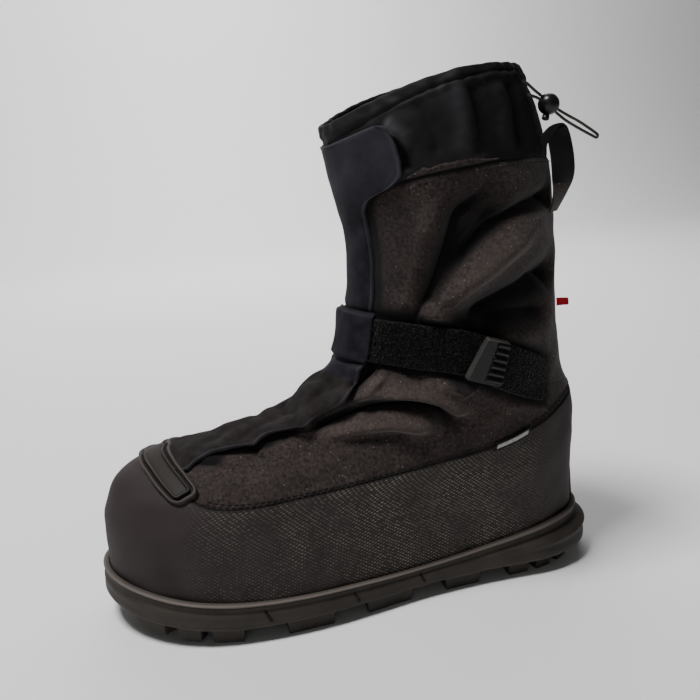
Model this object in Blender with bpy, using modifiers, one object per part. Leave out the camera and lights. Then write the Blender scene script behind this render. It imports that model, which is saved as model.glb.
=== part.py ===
"""Winter overshoe for the left foot: a fabric boot with a cinched collar on a rubber outsole.

Metres, +Z up. The origin is on the floor under the middle of the heel. The toe points to
-X, the outer side with the buckle faces -Y and the inner side faces +Y.

The upper, and all that lies on it, comes from one function, surface(turn, level).
A turn is a share of the way around the boot: 0 at the toe, 0.25 on the outer side,
0.5 at the back of the heel and 0.75 on the inner side. A level is a share of the way
up, from 0 in the seat of the outsole to 1 at the rim of the collar.
"""
import math

import bmesh
import bpy
import numpy as np
from mathutils import Matrix, Vector

# Plan of the outsole's rim
SOLE_LENGTH = 0.334
HEEL_REACH = 0.092
TOE_REACH = SOLE_LENGTH - HEEL_REACH
BALL_WIDTH = 0.130
HEEL_WIDTH = 0.090
TOE_SWING = 0.007
TOE_ROUND = 0.25
HEEL_ROUND = 0.16

# Heights of the outsole
TREAD_DEPTH = 0.009
TOE_SPRING = 0.010
TOE_RIM = 0.037
BALL_RIM = 0.027
WAIST_RIM = 0.023
HEEL_RIM = 0.037
RIM_WIDTH = 0.0030
SEAT_DEPTH = 0.0030
SIDE_RELIEF = 0.0010
HEEL_LEDGE = 0.0045

# Tread and grooves
LUG_WIDTH = 0.022
LUG_DRAFT = 0.0012
LUG_ROOT = 0.0015
LUG_INSET = 0.0025
GROOVE_WIDTH = 0.0016
GROOVE_DEPTH = 0.0012
GROOVE_LEAN = 0.45

# Upper
TOE_HEIGHT = 0.110
INSTEP_HEIGHT = 0.154
SHAFT_HEIGHT = 0.284
COLLAR_RISE = 0.052
SHAFT_FRONT = 0.072
SHAFT_BACK = 0.076
SHAFT_WIDTH = 0.114
UPPER_WALL = 0.0026
PANEL_STEP = 0.0008
COLLAR_WALL = 0.0014
CASING_SWELL = 0.0012
SHAFT_TOP = 0.892

# Pieces that lie on the upper
FIT = 0.0003
LAY = 0.0005
INSOLE_THICKNESS = 0.0030
BAND_RIDGE = 0.0030
BAND_CHANNEL = 0.0015
FLAP_THICKNESS = 0.0012
WEBBING_WIDTH = 0.0280
WEBBING_THICKNESS = 0.0018
KEEPER_MARGIN = 0.0020
KEEPER_THICKNESS = 0.0011
LABEL_THICKNESS = 0.0006
LABEL_WIDTH = 0.0062
GUARD_THICKNESS = 0.0020
GUARD_WIDTH = 0.020
GUARD_HEIGHT = 0.024

# Buckle, back tab, cord lock and cord
BUCKLE_LENGTH = 0.0255
BUCKLE_WIDTH = 0.030
BUCKLE_LEAN = 0.21 * BUCKLE_LENGTH
BUCKLE_TAPER = 0.14 * BUCKLE_LENGTH
BUCKLE_HEIGHT = 0.0042
BUCKLE_RIM = 0.0020
BUCKLE_CORNER = 0.0030
BUCKLE_POCKET = 0.45 * BUCKLE_HEIGHT
BUCKLE_RIBS = 6
RIB_RADIUS = 0.0011
TAB_REACH = 0.0080
TAB_HEIGHT = 0.0050
TAB_THICKNESS = 0.0010
LOCK_RADIUS = 0.0066
LOCK_BORE = 0.0028
PLUNGER_RADIUS = 0.0022
PLUNGER_LENGTH = 0.0030
CORD_RADIUS = 0.0009
TAPE_WIDTH = 0.0160
TAPE_THICKNESS = 0.0012

# How finely the pieces are drawn
AROUND = 48
STEP = 1.0e-4

# Outline of the rim: share of the length from the toe, outer and inner half widths
OUTLINE_ROWS = [
    (0.00, 0.510 * BALL_WIDTH, 0.475 * BALL_WIDTH),
    (0.20, 0.510 * BALL_WIDTH, 0.475 * BALL_WIDTH),
    (0.32, 0.512 * BALL_WIDTH, 0.470 * BALL_WIDTH),
    (0.42, 0.488 * BALL_WIDTH, 0.448 * BALL_WIDTH),
    (0.50, 0.450 * BALL_WIDTH, 0.405 * BALL_WIDTH),
    (0.60, 0.575 * HEEL_WIDTH, 0.515 * HEEL_WIDTH),
    (0.72, 0.528 * HEEL_WIDTH, 0.485 * HEEL_WIDTH),
    (0.84, 0.500 * HEEL_WIDTH, 0.490 * HEEL_WIDTH),
    (1.00, 0.480 * HEEL_WIDTH, 0.480 * HEEL_WIDTH),
]

# Side of the outsole: share of the length from the toe, rim height, lift of the tread
SIDE_ROWS = [
    (0.00, 1.00 * TOE_RIM, 1.00 * TOE_SPRING),
    (0.06, 0.93 * TOE_RIM, 0.60 * TOE_SPRING),
    (0.14, 0.82 * TOE_RIM, 0.25 * TOE_SPRING),
    (0.24, 1.00 * BALL_RIM, 0.00 * TOE_SPRING),
    (0.45, 0.90 * BALL_RIM, 0.00 * TOE_SPRING),
    (0.60, 1.00 * WAIST_RIM, 0.00 * TOE_SPRING),
    (0.78, 0.78 * HEEL_RIM, 0.00 * TOE_SPRING),
    (0.92, 0.97 * HEEL_RIM, 0.00 * TOE_SPRING),
    (1.00, 1.00 * HEEL_RIM, 0.00 * TOE_SPRING),
]

# Profile of the side: share of the wall's height, stand-out, share of the heel ledge
PROFILE_ROWS = [
    (0.00, -2.00 * SIDE_RELIEF, 0.80),
    (0.08, -0.30 * SIDE_RELIEF, 1.00),
    (0.40, 0.50 * SIDE_RELIEF, 1.00),
    (0.62, 0.20 * SIDE_RELIEF, 1.00),
    (0.69, -0.10 * SIDE_RELIEF, 0.10),
    (0.85, -0.70 * SIDE_RELIEF, 0.00),
    (0.89, 0.50 * SIDE_RELIEF, 0.00),
    (0.96, 0.70 * SIDE_RELIEF, 0.00),
    (1.00, 0.00 * SIDE_RELIEF, 0.00),
]

# Lugs along each edge: start and end as shares of the length from the toe
LUG_ROWS = [
    (0.045, 0.100),
    (0.122, 0.166),
    (0.184, 0.246),
    (0.325, 0.420),
    (0.486, 0.586),
    (0.658, 0.738),
    (0.802, 0.850),
    (0.868, 0.908),
    (0.928, 0.968),
]

# Bars down the middle of the tread: start, end, half width
BAR_ROWS = [
    (0.190, 0.240, 0.16 * BALL_WIDTH),
    (0.275, 0.340, 0.20 * BALL_WIDTH),
    (0.375, 0.430, 0.19 * BALL_WIDTH),
    (0.490, 0.560, 0.22 * HEEL_WIDTH),
    (0.705, 0.770, 0.17 * HEEL_WIDTH),
    (0.810, 0.870, 0.16 * HEEL_WIDTH),
]

# Grooves across the side, as shares of the length from the toe
GROOVE_PLACES = (0.300, 0.470, 0.610)

# Sections of the upper: level, front reach and height, back reach and height,
# half widths to the front and the back, share of the length that rounds the front and
# the back, sag of the sides below the straight line
UPPER_ROWS = [
    (0.00, 0.983 * TOE_REACH, 0.31 * TOE_HEIGHT, 0.955 * HEEL_REACH, 0.25 * INSTEP_HEIGHT,
     0.477 * BALL_WIDTH, 0.49 * HEEL_WIDTH, 0.25, 0.16, 0.090 * TOE_HEIGHT),
    (0.08, 0.990 * TOE_REACH, 0.49 * TOE_HEIGHT, 0.962 * HEEL_REACH, 0.39 * INSTEP_HEIGHT,
     0.485 * BALL_WIDTH, 0.50 * HEEL_WIDTH, 0.25, 0.17, 0.090 * TOE_HEIGHT),
    (0.16, 0.976 * TOE_REACH, 0.67 * TOE_HEIGHT, 0.967 * HEEL_REACH, 0.53 * INSTEP_HEIGHT,
     0.480 * BALL_WIDTH, 0.51 * HEEL_WIDTH, 0.26, 0.18, 0.100 * TOE_HEIGHT),
    (0.24, 0.938 * TOE_REACH, 0.84 * TOE_HEIGHT, 0.967 * HEEL_REACH, 0.66 * INSTEP_HEIGHT,
     0.450 * BALL_WIDTH, 0.52 * HEEL_WIDTH, 0.28, 0.19, 0.127 * TOE_HEIGHT),
    (0.30, 0.870 * TOE_REACH, 0.93 * TOE_HEIGHT, 0.955 * HEEL_REACH, 0.75 * INSTEP_HEIGHT,
     0.402 * BALL_WIDTH, 0.53 * HEEL_WIDTH, 0.31, 0.21, 0.155 * TOE_HEIGHT),
    (0.36, 0.788 * TOE_REACH, 0.98 * TOE_HEIGHT, 0.935 * HEEL_REACH, 0.82 * INSTEP_HEIGHT,
     0.362 * BALL_WIDTH, 0.54 * HEEL_WIDTH, 0.35, 0.25, 0.164 * TOE_HEIGHT),
    (0.44, 0.653 * TOE_REACH, 0.74 * INSTEP_HEIGHT, 1.090 * SHAFT_BACK, 0.88 * INSTEP_HEIGHT,
     0.331 * BALL_WIDTH, 0.439 * SHAFT_WIDTH, 0.41, 0.30, 0.155 * TOE_HEIGHT),
    (0.50, 0.537 * TOE_REACH, 0.79 * INSTEP_HEIGHT, 1.060 * SHAFT_BACK, 0.94 * INSTEP_HEIGHT,
     0.315 * BALL_WIDTH, 0.447 * SHAFT_WIDTH, 0.44, 0.36, 0.127 * TOE_HEIGHT),
    (0.56, 0.422 * TOE_REACH, 0.87 * INSTEP_HEIGHT, 1.042 * SHAFT_BACK, 1.00 * INSTEP_HEIGHT,
     0.377 * SHAFT_WIDTH, 0.465 * SHAFT_WIDTH, 0.46, 0.42, 0.090 * TOE_HEIGHT),
    (0.62, 1.085 * SHAFT_FRONT, 1.00 * INSTEP_HEIGHT, 1.022 * SHAFT_BACK, 1.07 * INSTEP_HEIGHT,
     0.412 * SHAFT_WIDTH, 0.474 * SHAFT_WIDTH, 0.48, 0.46, 0.045 * TOE_HEIGHT),
    (0.70, 0.950 * SHAFT_FRONT, 0.669 * SHAFT_HEIGHT, 1.000 * SHAFT_BACK, 0.665 * SHAFT_HEIGHT,
     0.465 * SHAFT_WIDTH, 0.491 * SHAFT_WIDTH, 0.50, 0.50, 0.000 * TOE_HEIGHT),
    (0.80, 0.893 * SHAFT_FRONT, 0.810 * SHAFT_HEIGHT, 0.972 * SHAFT_BACK, 0.813 * SHAFT_HEIGHT,
     0.491 * SHAFT_WIDTH, 0.509 * SHAFT_WIDTH, 0.50, 0.50, -0.027 * TOE_HEIGHT),
    (0.90, 0.986 * SHAFT_FRONT, 0.937 * SHAFT_HEIGHT, 0.908 * SHAFT_BACK, 1.000 * SHAFT_HEIGHT,
     0.491 * SHAFT_WIDTH, 0.509 * SHAFT_WIDTH, 0.50, 0.50, -0.055 * TOE_HEIGHT),
    (0.97, 1.069 * SHAFT_FRONT, SHAFT_HEIGHT + 0.21 * COLLAR_RISE,
     0.750 * SHAFT_BACK, SHAFT_HEIGHT + 0.73 * COLLAR_RISE,
     0.474 * SHAFT_WIDTH, 0.474 * SHAFT_WIDTH, 0.50, 0.50, -0.082 * TOE_HEIGHT),
    (1.00, 1.090 * SHAFT_FRONT, SHAFT_HEIGHT + 0.42 * COLLAR_RISE,
     0.658 * SHAFT_BACK, SHAFT_HEIGHT + 1.00 * COLLAR_RISE,
     0.430 * SHAFT_WIDTH, 0.420 * SHAFT_WIDTH, 0.50, 0.50, -0.090 * TOE_HEIGHT),
]

# Levels of the upper's rows of points above its panel seam
UPPER_LEVELS = (0.46, 0.50, 0.53, 0.56, 0.59, 0.62, 0.65, 0.68, 0.72, 0.77, 0.83, 0.865,
                SHAFT_TOP)

# Share of the toe's swing that a section takes, by level
SWING_ROWS = [(0.00, 1.0), (0.24, 1.0), (0.36, 0.7), (0.50, 0.3), (0.62, 0.0), (1.00, 0.0)]

# Seam between the lower and the upper panel: turn, level
SEAM_ROWS = [
    (0.000, 0.330), (0.060, 0.305), (0.110, 0.262), (0.140, 0.236), (0.170, 0.235),
    (0.200, 0.250), (0.250, 0.273), (0.290, 0.286), (0.330, 0.291), (0.360, 0.306),
    (0.400, 0.328), (0.450, 0.338), (0.500, 0.340),
]

# Toe band: turn, level of its front edge, level of its rear edge
BAND_ROWS = [
    (0.000, 0.298, 0.364), (0.060, 0.280, 0.340), (0.090, 0.256, 0.316), (0.122, 0.222, 0.276),
]
BAND_END = 0.114
BAND_END_LEAN = 0.010
# Across the toe band: share of its width, lift
BAND_PROFILE = [
    (0.00, 0.35 * BAND_RIDGE), (0.05, 1.00 * BAND_RIDGE), (0.20, 1.00 * BAND_RIDGE),
    (0.27, BAND_CHANNEL), (0.73, BAND_CHANNEL), (0.80, 1.00 * BAND_RIDGE),
    (0.95, 1.00 * BAND_RIDGE), (1.00, 0.35 * BAND_RIDGE),
]

# Front flap: level, turn of its inner edge, turn of its outer edge
FLAP_ROWS = [
    (0.372, -0.058, 0.060), (0.400, -0.058, 0.060), (0.430, -0.060, 0.074),
    (0.460, -0.061, 0.078), (0.500, -0.064, 0.078), (0.530, -0.067, 0.090),
    (0.560, -0.070, 0.092), (0.590, -0.074, 0.106), (0.620, -0.075, 0.104),
    (0.650, -0.076, 0.100), (0.680, -0.078, 0.101), (0.720, -0.078, 0.100),
    (0.770, -0.078, 0.092), (0.830, -0.078, 0.085), (0.865, -0.078, 0.088),
    (0.878, -0.078, 0.096), (0.885, -0.078, 0.115), (0.892, -0.078, 0.146), (0.902, -0.078, 0.155),
    (0.930, -0.078, 0.158), (0.950, -0.076, 0.154), (0.960, -0.072, 0.144),
    (0.966, -0.062, 0.126),
]

# Middle of the strap around the boot: turn without its sign, height
STRAP_ROWS = [
    (0.000, 1.130 * INSTEP_HEIGHT), (0.060, 1.128 * INSTEP_HEIGHT),
    (0.120, 1.118 * INSTEP_HEIGHT), (0.170, 1.098 * INSTEP_HEIGHT),
    (0.230, 1.066 * INSTEP_HEIGHT), (0.300, 0.982 * INSTEP_HEIGHT),
    (0.370, 0.900 * INSTEP_HEIGHT), (0.420, 0.860 * INSTEP_HEIGHT),
]
STRAP_ENDS = (-0.385, 0.262)
STRAP_OVER_FLAP = (-0.115, -0.085, 0.108, 0.150)
ANCHOR_ENDS = (0.288, 0.378)
KEEPER_ENDS = (-0.020, 0.094)
LABEL_ENDS = (0.333, 0.366)
BUCKLE_PLACE = 0.265
BUCKLE_TURN = 6.0
TAB_PLACE = (0.440, 0.686)

# Drawcord: out of the casing, through the lock, around the loop of its tail and back
CORD_POINTS = [
    (0.0408, -0.0356, 0.3255), (0.0440, -0.0360, 0.3232), (0.0490, -0.0361, 0.3190),
    (0.0528, -0.0362, 0.3161), (0.0583, -0.0366, 0.3118), (0.0638, -0.0370, 0.3075),
    (0.0690, -0.0384, 0.3040), (0.0770, -0.0400, 0.2992), (0.0860, -0.0412, 0.2930),
    (0.0884, -0.0414, 0.2908), (0.0876, -0.0415, 0.2894), (0.0852, -0.0414, 0.2904),
    (0.0760, -0.0402, 0.2956), (0.0680, -0.0386, 0.3008), (0.0624, -0.0370, 0.3057),
    (0.0569, -0.0366, 0.3100), (0.0514, -0.0362, 0.3143), (0.0470, -0.0366, 0.3160),
    (0.0436, -0.0372, 0.3168),
]
CORD_STEPS = 2
LOCK_PLACE = (0.0576, -0.0366, 0.3109)
LOCK_AXIS = (0.786, -0.057, -0.615)

# Pull loop: turn and level of the tape's middle, its lift off the boot, direction across it
LOOP_ROWS = [
    (0.386, 0.900, 0.0014, (-0.24, -0.02, 0.97)),
    (0.390, 0.908, 0.0042, (0.10, -0.10, 0.97)),
    (0.395, 0.914, 0.0070, (0.60, -0.20, 0.75)),
    (0.399, 0.917, 0.0088, (0.95, -0.15, 0.26)),
    (0.401, 0.908, 0.0100, (1.00, 0.00, 0.04)),
    (0.401, 0.892, 0.0100, (1.00, 0.00, 0.00)),
    (0.402, 0.876, 0.0094, (1.00, 0.02, 0.02)),
    (0.402, 0.864, 0.0084, (0.98, 0.16, 0.00)),
    (0.402, 0.852, 0.0066, (0.88, 0.45, 0.00)),
    (0.402, 0.839, 0.0038, (0.76, 0.64, 0.00)),
    (0.402, 0.828, 0.0010, (0.69, 0.72, 0.00)),
]


def smoothstep(value):
    value = np.clip(value, 0.0, 1.0)
    return value * value * (3.0 - 2.0 * value)


def read_rows(rows, where, column=1):
    """Read one column of a table along a smooth curve through its rows"""
    table = np.array(rows, dtype=float)
    at = table[:, 0]
    values = table[:, column]
    slopes = np.gradient(values, at)
    where = np.clip(np.asarray(where, dtype=float), at[0], at[-1])
    i = np.clip(np.searchsorted(at, where, side="right") - 1, 0, len(at) - 2)
    width = at[i + 1] - at[i]
    t = (where - at[i]) / width
    start = values[i] * (2 * t**3 - 3 * t**2 + 1) + slopes[i] * width * (t**3 - 2 * t**2 + t)
    end = values[i + 1] * (3 * t**2 - 2 * t**3) + slopes[i + 1] * width * (t**3 - t**2)
    return start + end


def rounding(along, front, back):
    """Share of the half width left at a place along a ring whose ends are quarter ellipses"""
    toe = np.sqrt(np.clip(1.0 - np.clip((front - along) / front, 0.0, 1.0) ** 2, 0.0, 1.0))
    heel = np.sqrt(np.clip(1.0 - np.clip((along - 1.0 + back) / back, 0.0, 1.0) ** 2, 0.0, 1.0))
    return toe * heel


def along_and_side(turn):
    """Share of the length from the toe, and -1 on the outer or 1 on the inner side"""
    angle = 2.0 * math.pi * np.asarray(turn, dtype=float)
    return (1.0 - np.cos(angle)) / 2.0, np.where(np.sin(angle) > 0.0, -1.0, 1.0)


def toe_swing(along):
    return TOE_SWING * np.clip(1.0 - along / 0.45, 0.0, 1.0) ** 2


def outline(turn, inset=0.0):
    """Plan of the outsole's rim, drawn in by an inset"""
    along, side = along_and_side(turn)
    outer = read_rows(OUTLINE_ROWS, along, 1)
    inner = read_rows(OUTLINE_ROWS, along, 2)
    half = np.where(side < 0.0, outer, inner) - inset
    x = -TOE_REACH + inset + (SOLE_LENGTH - 2.0 * inset) * along
    y = toe_swing(along) + side * half * rounding(along, TOE_ROUND, HEEL_ROUND)
    return x, y


def along_at(x):
    return np.clip((np.asarray(x) + TOE_REACH) / SOLE_LENGTH, 0.0, 1.0)


def rim_height(along):
    return read_rows(SIDE_ROWS, along, 1)


def tread_lift(along):
    return np.maximum(read_rows(SIDE_ROWS, along, 2), 0.0)


def seat_height(x):
    return rim_height(along_at(x)) - SEAT_DEPTH


def seam_level(turn):
    turn = np.abs((np.asarray(turn, dtype=float) + 0.5) % 1.0 - 0.5)
    return read_rows(SEAM_ROWS, turn)


SEAT_INSET = RIM_WIDTH + FIT + PANEL_STEP
SEAT_HOLD = 0.03
SEAT_FADE = 0.17


def surface(turn, level):
    """Point on the upper's outer face, without its steps"""
    turn, level = np.broadcast_arrays(np.asarray(turn, dtype=float), np.asarray(level, dtype=float))
    size = [read_rows(UPPER_ROWS, level, column) for column in range(10)]
    along, side = along_and_side(turn)
    front, front_height, back, back_height = -size[1], size[2], size[3], size[4]
    half = size[5] + (size[6] - size[5]) * smoothstep(along)
    sag = size[9] * 4.0 * along * (1.0 - along)
    x = front + (back - front) * along
    y = side * half * rounding(along, size[7], size[8])
    y = y + toe_swing(along) * read_rows(SWING_ROWS, level)
    z = front_height + (back_height - front_height) * along - sag
    seat_x, seat_y = outline(turn, SEAT_INSET)
    seat_z = seat_height(seat_x) + FIT
    first = np.array(UPPER_ROWS[0])
    first_z = first[2] + (first[4] - first[2]) * along - first[9] * 4.0 * along * (1.0 - along)
    hold = 1.0 - smoothstep((level - SEAT_HOLD) / SEAT_FADE)
    x = x + (seat_x - x) * hold
    y = y + (seat_y - y) * hold
    z = z + (seat_z - first_z) * (1.0 - smoothstep(level / (SEAT_HOLD + SEAT_FADE)))
    return np.stack([x, y, z], axis=-1)


def normal(turn, level):
    """Direction out of the upper's face"""
    low = np.clip(np.asarray(level, dtype=float) - STEP, 0.0, 1.0)
    high = np.clip(np.asarray(level, dtype=float) + STEP, 0.0, 1.0)
    across = surface(np.asarray(turn) + STEP, level) - surface(np.asarray(turn) - STEP, level)
    upward = surface(turn, high) - surface(turn, low)
    out = np.cross(across, upward)
    return out / np.linalg.norm(out, axis=-1, keepdims=True)


def lifted(turn, level, lift):
    """Point at a height over the upper's face"""
    return surface(turn, level) + normal(turn, level) * np.asarray(lift)[..., None]


def climb(turn, level):
    """Metres up the face for one whole level"""
    low = np.clip(np.asarray(level, dtype=float) - STEP, 0.0, 1.0)
    high = np.clip(np.asarray(level, dtype=float) + STEP, 0.0, 1.0)
    rise = surface(turn, high) - surface(turn, low)
    return np.linalg.norm(rise, axis=-1) / (high - low)


def level_at_height(turn, height):
    """Level where one meridian reaches a height"""
    levels = np.linspace(0.0, 1.0, 401)
    return float(np.interp(height, surface(turn, levels)[:, 2], levels))


def make_material(name, colour, roughness, metallic=0.0):
    material = bpy.data.materials.new(name)
    material.use_nodes = True
    shader = material.node_tree.nodes["Principled BSDF"]
    shader.inputs["Base Color"].default_value = (*colour, 1.0)
    shader.inputs["Roughness"].default_value = roughness
    shader.inputs["Metallic"].default_value = metallic
    return material


def clear_scene():
    for thing in list(bpy.data.objects):
        bpy.data.objects.remove(thing)


def make_collection(name):
    collection = bpy.data.collections.new(name)
    bpy.context.scene.collection.children.link(collection)
    return collection


def add_object(name, mesh, collection, material, smooth_angle=35.0):
    thing = bpy.data.objects.new(name, mesh)
    collection.objects.link(thing)
    mesh.materials.clear()
    mesh.materials.append(material)
    if smooth_angle:
        mesh.shade_smooth()
        mesh.set_sharp_from_angle(angle=math.radians(smooth_angle))
    return thing


def mesh_from(name, points, faces):
    mesh = bpy.data.meshes.new(name)
    mesh.from_pydata([tuple(point) for point in points], [], faces)
    body = bmesh.new()
    body.from_mesh(mesh)
    bmesh.ops.recalc_face_normals(body, faces=body.faces)
    body.to_mesh(mesh)
    body.free()
    return mesh


def triangulated(mesh):
    """Split every face into triangles, so that a Boolean meets only flat ones"""
    body = bmesh.new()
    body.from_mesh(mesh)
    bmesh.ops.triangulate(body, faces=body.faces)
    body.to_mesh(mesh)
    body.free()
    return mesh


def ring_faces(first, second, count):
    """Quads between two closed rings of points"""
    faces = []
    for i in range(count):
        j = (i + 1) % count
        faces.append((first + i, first + j, second + j, second + i))
    return faces


def flat_cap(first, count):
    """Close a ring whose two sides mirror each other by strips from side to side"""
    faces = [(first, first + 1, first + count - 1)]
    for i in range(1, count // 2 - 1):
        faces.append((first + i, first + i + 1, first + count - i - 1, first + count - i))
    middle = count // 2
    faces.append((first + middle - 1, first + middle, first + middle + 1))
    return faces


def solid_of_rings(name, rings, capped):
    """Closed body through a list of rings, capped at both ends or joined last to first"""
    count = len(rings[0])
    points = np.concatenate(rings)
    faces = []
    for i in range(len(rings) - 1):
        faces += ring_faces(i * count, (i + 1) * count, count)
    if capped:
        faces += flat_cap(0, count)
        faces += flat_cap((len(rings) - 1) * count, count)
    else:
        faces += ring_faces((len(rings) - 1) * count, 0, count)
    return mesh_from(name, points, faces)


def solid_patch(name, inner, outer):
    """Closed body between two grids of points"""
    rows, columns = inner.shape[:2]
    points = np.concatenate([inner.reshape(-1, 3), outer.reshape(-1, 3)])
    shift = rows * columns
    faces = []
    for i in range(rows - 1):
        for j in range(columns - 1):
            a = i * columns + j
            quad = (a, a + 1, a + columns + 1, a + columns)
            faces.append(quad)
            faces.append(tuple(shift + corner for corner in reversed(quad)))
    edge = [j for j in range(columns)]
    edge += [i * columns + columns - 1 for i in range(1, rows)]
    edge += [(rows - 1) * columns + j for j in range(columns - 2, -1, -1)]
    edge += [i * columns for i in range(rows - 2, 0, -1)]
    for a, b in zip(edge, edge[1:] + edge[:1]):
        faces.append((b, a, a + shift, b + shift))
    return mesh_from(name, points, faces)


def tube(name, points, radius, collection, material):
    """Tube along a smooth curve through the given points"""
    path = smooth_path(points, CORD_STEPS)
    curve = bpy.data.curves.new(name, "CURVE")
    curve.dimensions = "3D"
    curve.bevel_depth = radius
    curve.bevel_resolution = 2
    curve.use_fill_caps = True
    spline = curve.splines.new("POLY")
    spline.points.add(len(path) - 1)
    for target, point in zip(spline.points, path):
        target.co = (*point, 1.0)
    thing = bpy.data.objects.new(name, curve)
    collection.objects.link(thing)
    curve.materials.append(material)
    return thing


def smooth_path(points, steps):
    """Catmull-Rom curve through the points"""
    points = np.array(points, dtype=float)
    ends = np.concatenate([[2 * points[0] - points[1]], points, [2 * points[-1] - points[-2]]])
    path = []
    for i in range(1, len(ends) - 2):
        a, b, c, d = ends[i - 1:i + 3]
        for t in np.arange(steps) / steps:
            path.append(0.5 * (2 * b + (c - a) * t + (2 * a - 5 * b + 4 * c - d) * t**2
                               + (3 * b - a - 3 * c + d) * t**3))
    path.append(points[-1])
    return np.array(path)


def add_boolean(thing, cutter, operation):
    """Join or cut with another object, which the build leaves out"""
    cutter.hide_render = True
    cutter.display_type = "WIRE"
    modifier = thing.modifiers.new(cutter.name, "BOOLEAN")
    modifier.operation = operation
    modifier.object = cutter


def axes_matrix(place, x_axis, y_axis, z_axis):
    """Matrix of a place and its three axes"""
    matrix = Matrix((x_axis, y_axis, z_axis)).transposed().to_4x4()
    matrix.translation = Vector(place)
    return matrix


def outsole(parts, tools, rubber):
    """Rubber outsole: tread plate, side wall with ledge and bead, lip, seat, lugs and grooves"""
    turns = np.arange(AROUND) / AROUND
    along, side = along_and_side(turns)
    floor = TREAD_DEPTH + tread_lift(along)
    top = rim_height(along)
    ledge = HEEL_LEDGE * smoothstep((along - 0.62) / 0.34) ** 2 + 0.12 * HEEL_LEDGE
    rings = []
    for share, stand, ledge_share in PROFILE_ROWS:
        x, y = outline(turns, -(stand + ledge_share * ledge))
        rings.append(np.stack([x, y, floor + (top - floor) * share], axis=-1))
    x, y = outline(turns, RIM_WIDTH)
    rings.append(np.stack([x, y, top], axis=-1))
    rings.append(np.stack([x, y, seat_height(x)], axis=-1))
    body = add_object("outsole", triangulated(solid_of_rings("outsole", rings, True)), parts, rubber)
    lugs = add_object("lugs", triangulated(lug_mesh()), tools, rubber)
    add_boolean(body, lugs, "UNION")
    grooves = add_object("side_grooves", triangulated(groove_mesh()), tools, rubber)
    add_boolean(body, grooves, "DIFFERENCE")
    return body


def prism(points, faces, base, top):
    """Add a block between two outlines with the same number of points"""
    first = len(points)
    count = len(base)
    points.extend(base)
    points.extend(top)
    faces.append(tuple(first + i for i in reversed(range(count))))
    faces.append(tuple(first + count + i for i in range(count)))
    for i in range(count):
        j = (i + 1) % count
        faces.append((first + i, first + j, first + count + j, first + count + i))


def add_lug(points, faces, plan):
    """Block under the tread plate, drawn in at the floor by the mould's draft"""
    plan = np.array(plan)
    middle = plan.mean(axis=0)
    reach = np.linalg.norm(plan - middle, axis=1, keepdims=True)
    foot = middle + (plan - middle) * (1.0 - LUG_DRAFT / reach)
    lift = tread_lift(along_at(foot[:, 0]))
    root = TREAD_DEPTH + tread_lift(along_at(plan[:, 0])) + LUG_ROOT
    base = [(x, y, z) for (x, y), z in zip(foot, lift)]
    top = [(x, y, z) for (x, y), z in zip(plan, root)]
    prism(points, faces, base, top)


def turn_at(along, side):
    """Turn of a place along the boot's outer (-1) or inner (1) side"""
    share = math.acos(1.0 - 2.0 * along) / (2.0 * math.pi)
    return share if side < 0 else 1.0 - share


def towards_spine(point, distance):
    """Move a plan point straight towards the line down the middle of the tread"""
    front = -TOE_REACH + TOE_ROUND * SOLE_LENGTH
    back = HEEL_REACH - HEEL_ROUND * SOLE_LENGTH
    reach = np.array([min(max(point[0], front), back), 0.0]) - point
    return point + reach * distance / np.linalg.norm(reach)


def lug_mesh():
    """Blocks along both edges of the tread and bars down its middle"""
    points = []
    faces = []
    for side in (-1, 1):
        for start, end in LUG_ROWS:
            places = [start, (start + end) / 2.0, end]
            edge = [np.array(outline(turn_at(place, side), LUG_INSET)) for place in places]
            inner = [towards_spine(point, LUG_WIDTH) for point in edge]
            add_lug(points, faces, edge + inner[::-1])
    for start, end, half in BAR_ROWS:
        low = -TOE_REACH + SOLE_LENGTH * start
        high = -TOE_REACH + SOLE_LENGTH * end
        shift = float(toe_swing(np.array(start)))
        point = 0.35 * (high - low)
        plan = [
            (low - point, shift), (low, shift + half), (high, shift + half),
            (high - point, shift), (high, shift - half), (low, shift - half),
        ]
        add_lug(points, faces, plan)
    return mesh_from("lugs", points, faces)


def groove_mesh():
    """Slanting cuts across the outsole's side"""
    points = []
    faces = []
    for side in (-1, 1):
        for place in GROOVE_PLACES:
            low = TREAD_DEPTH + 0.20 * (float(rim_height(place)) - TREAD_DEPTH)
            high = TREAD_DEPTH + 0.78 * (float(rim_height(place)) - TREAD_DEPTH)
            x, y = outline(turn_at(place, side), GROOVE_DEPTH)
            far = y + side * 8.0 * GROOVE_DEPTH
            lean = GROOVE_LEAN * (high - low)
            ends = []
            for height, shift in ((low, 0.0), (high, -lean)):
                left = x + shift - GROOVE_WIDTH / 2.0
                right = x + shift + GROOVE_WIDTH / 2.0
                ends.append([(left, y, height), (right, y, height), (right, far, height), (left, far, height)])
            prism(points, faces, ends[0], ends[1])
    return mesh_from("side_grooves", points, faces)


def insole(parts, foam):
    """Flat footbed on the outsole's seat, inside the upper"""
    turns = np.arange(AROUND) / AROUND
    rings = []
    for inset, height in ((0.0, 0.0), (0.0, 0.7), (0.8, 1.0)):
        edge = SEAT_INSET + UPPER_WALL + 4.0 * FIT + inset * INSOLE_THICKNESS
        x, y = outline(turns, edge)
        z = seat_height(x) + FIT + height * INSOLE_THICKNESS
        rings.append(np.stack([x, y, z], axis=-1))
    return add_object("insole", solid_of_rings("insole", rings, True), parts, foam)


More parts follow.
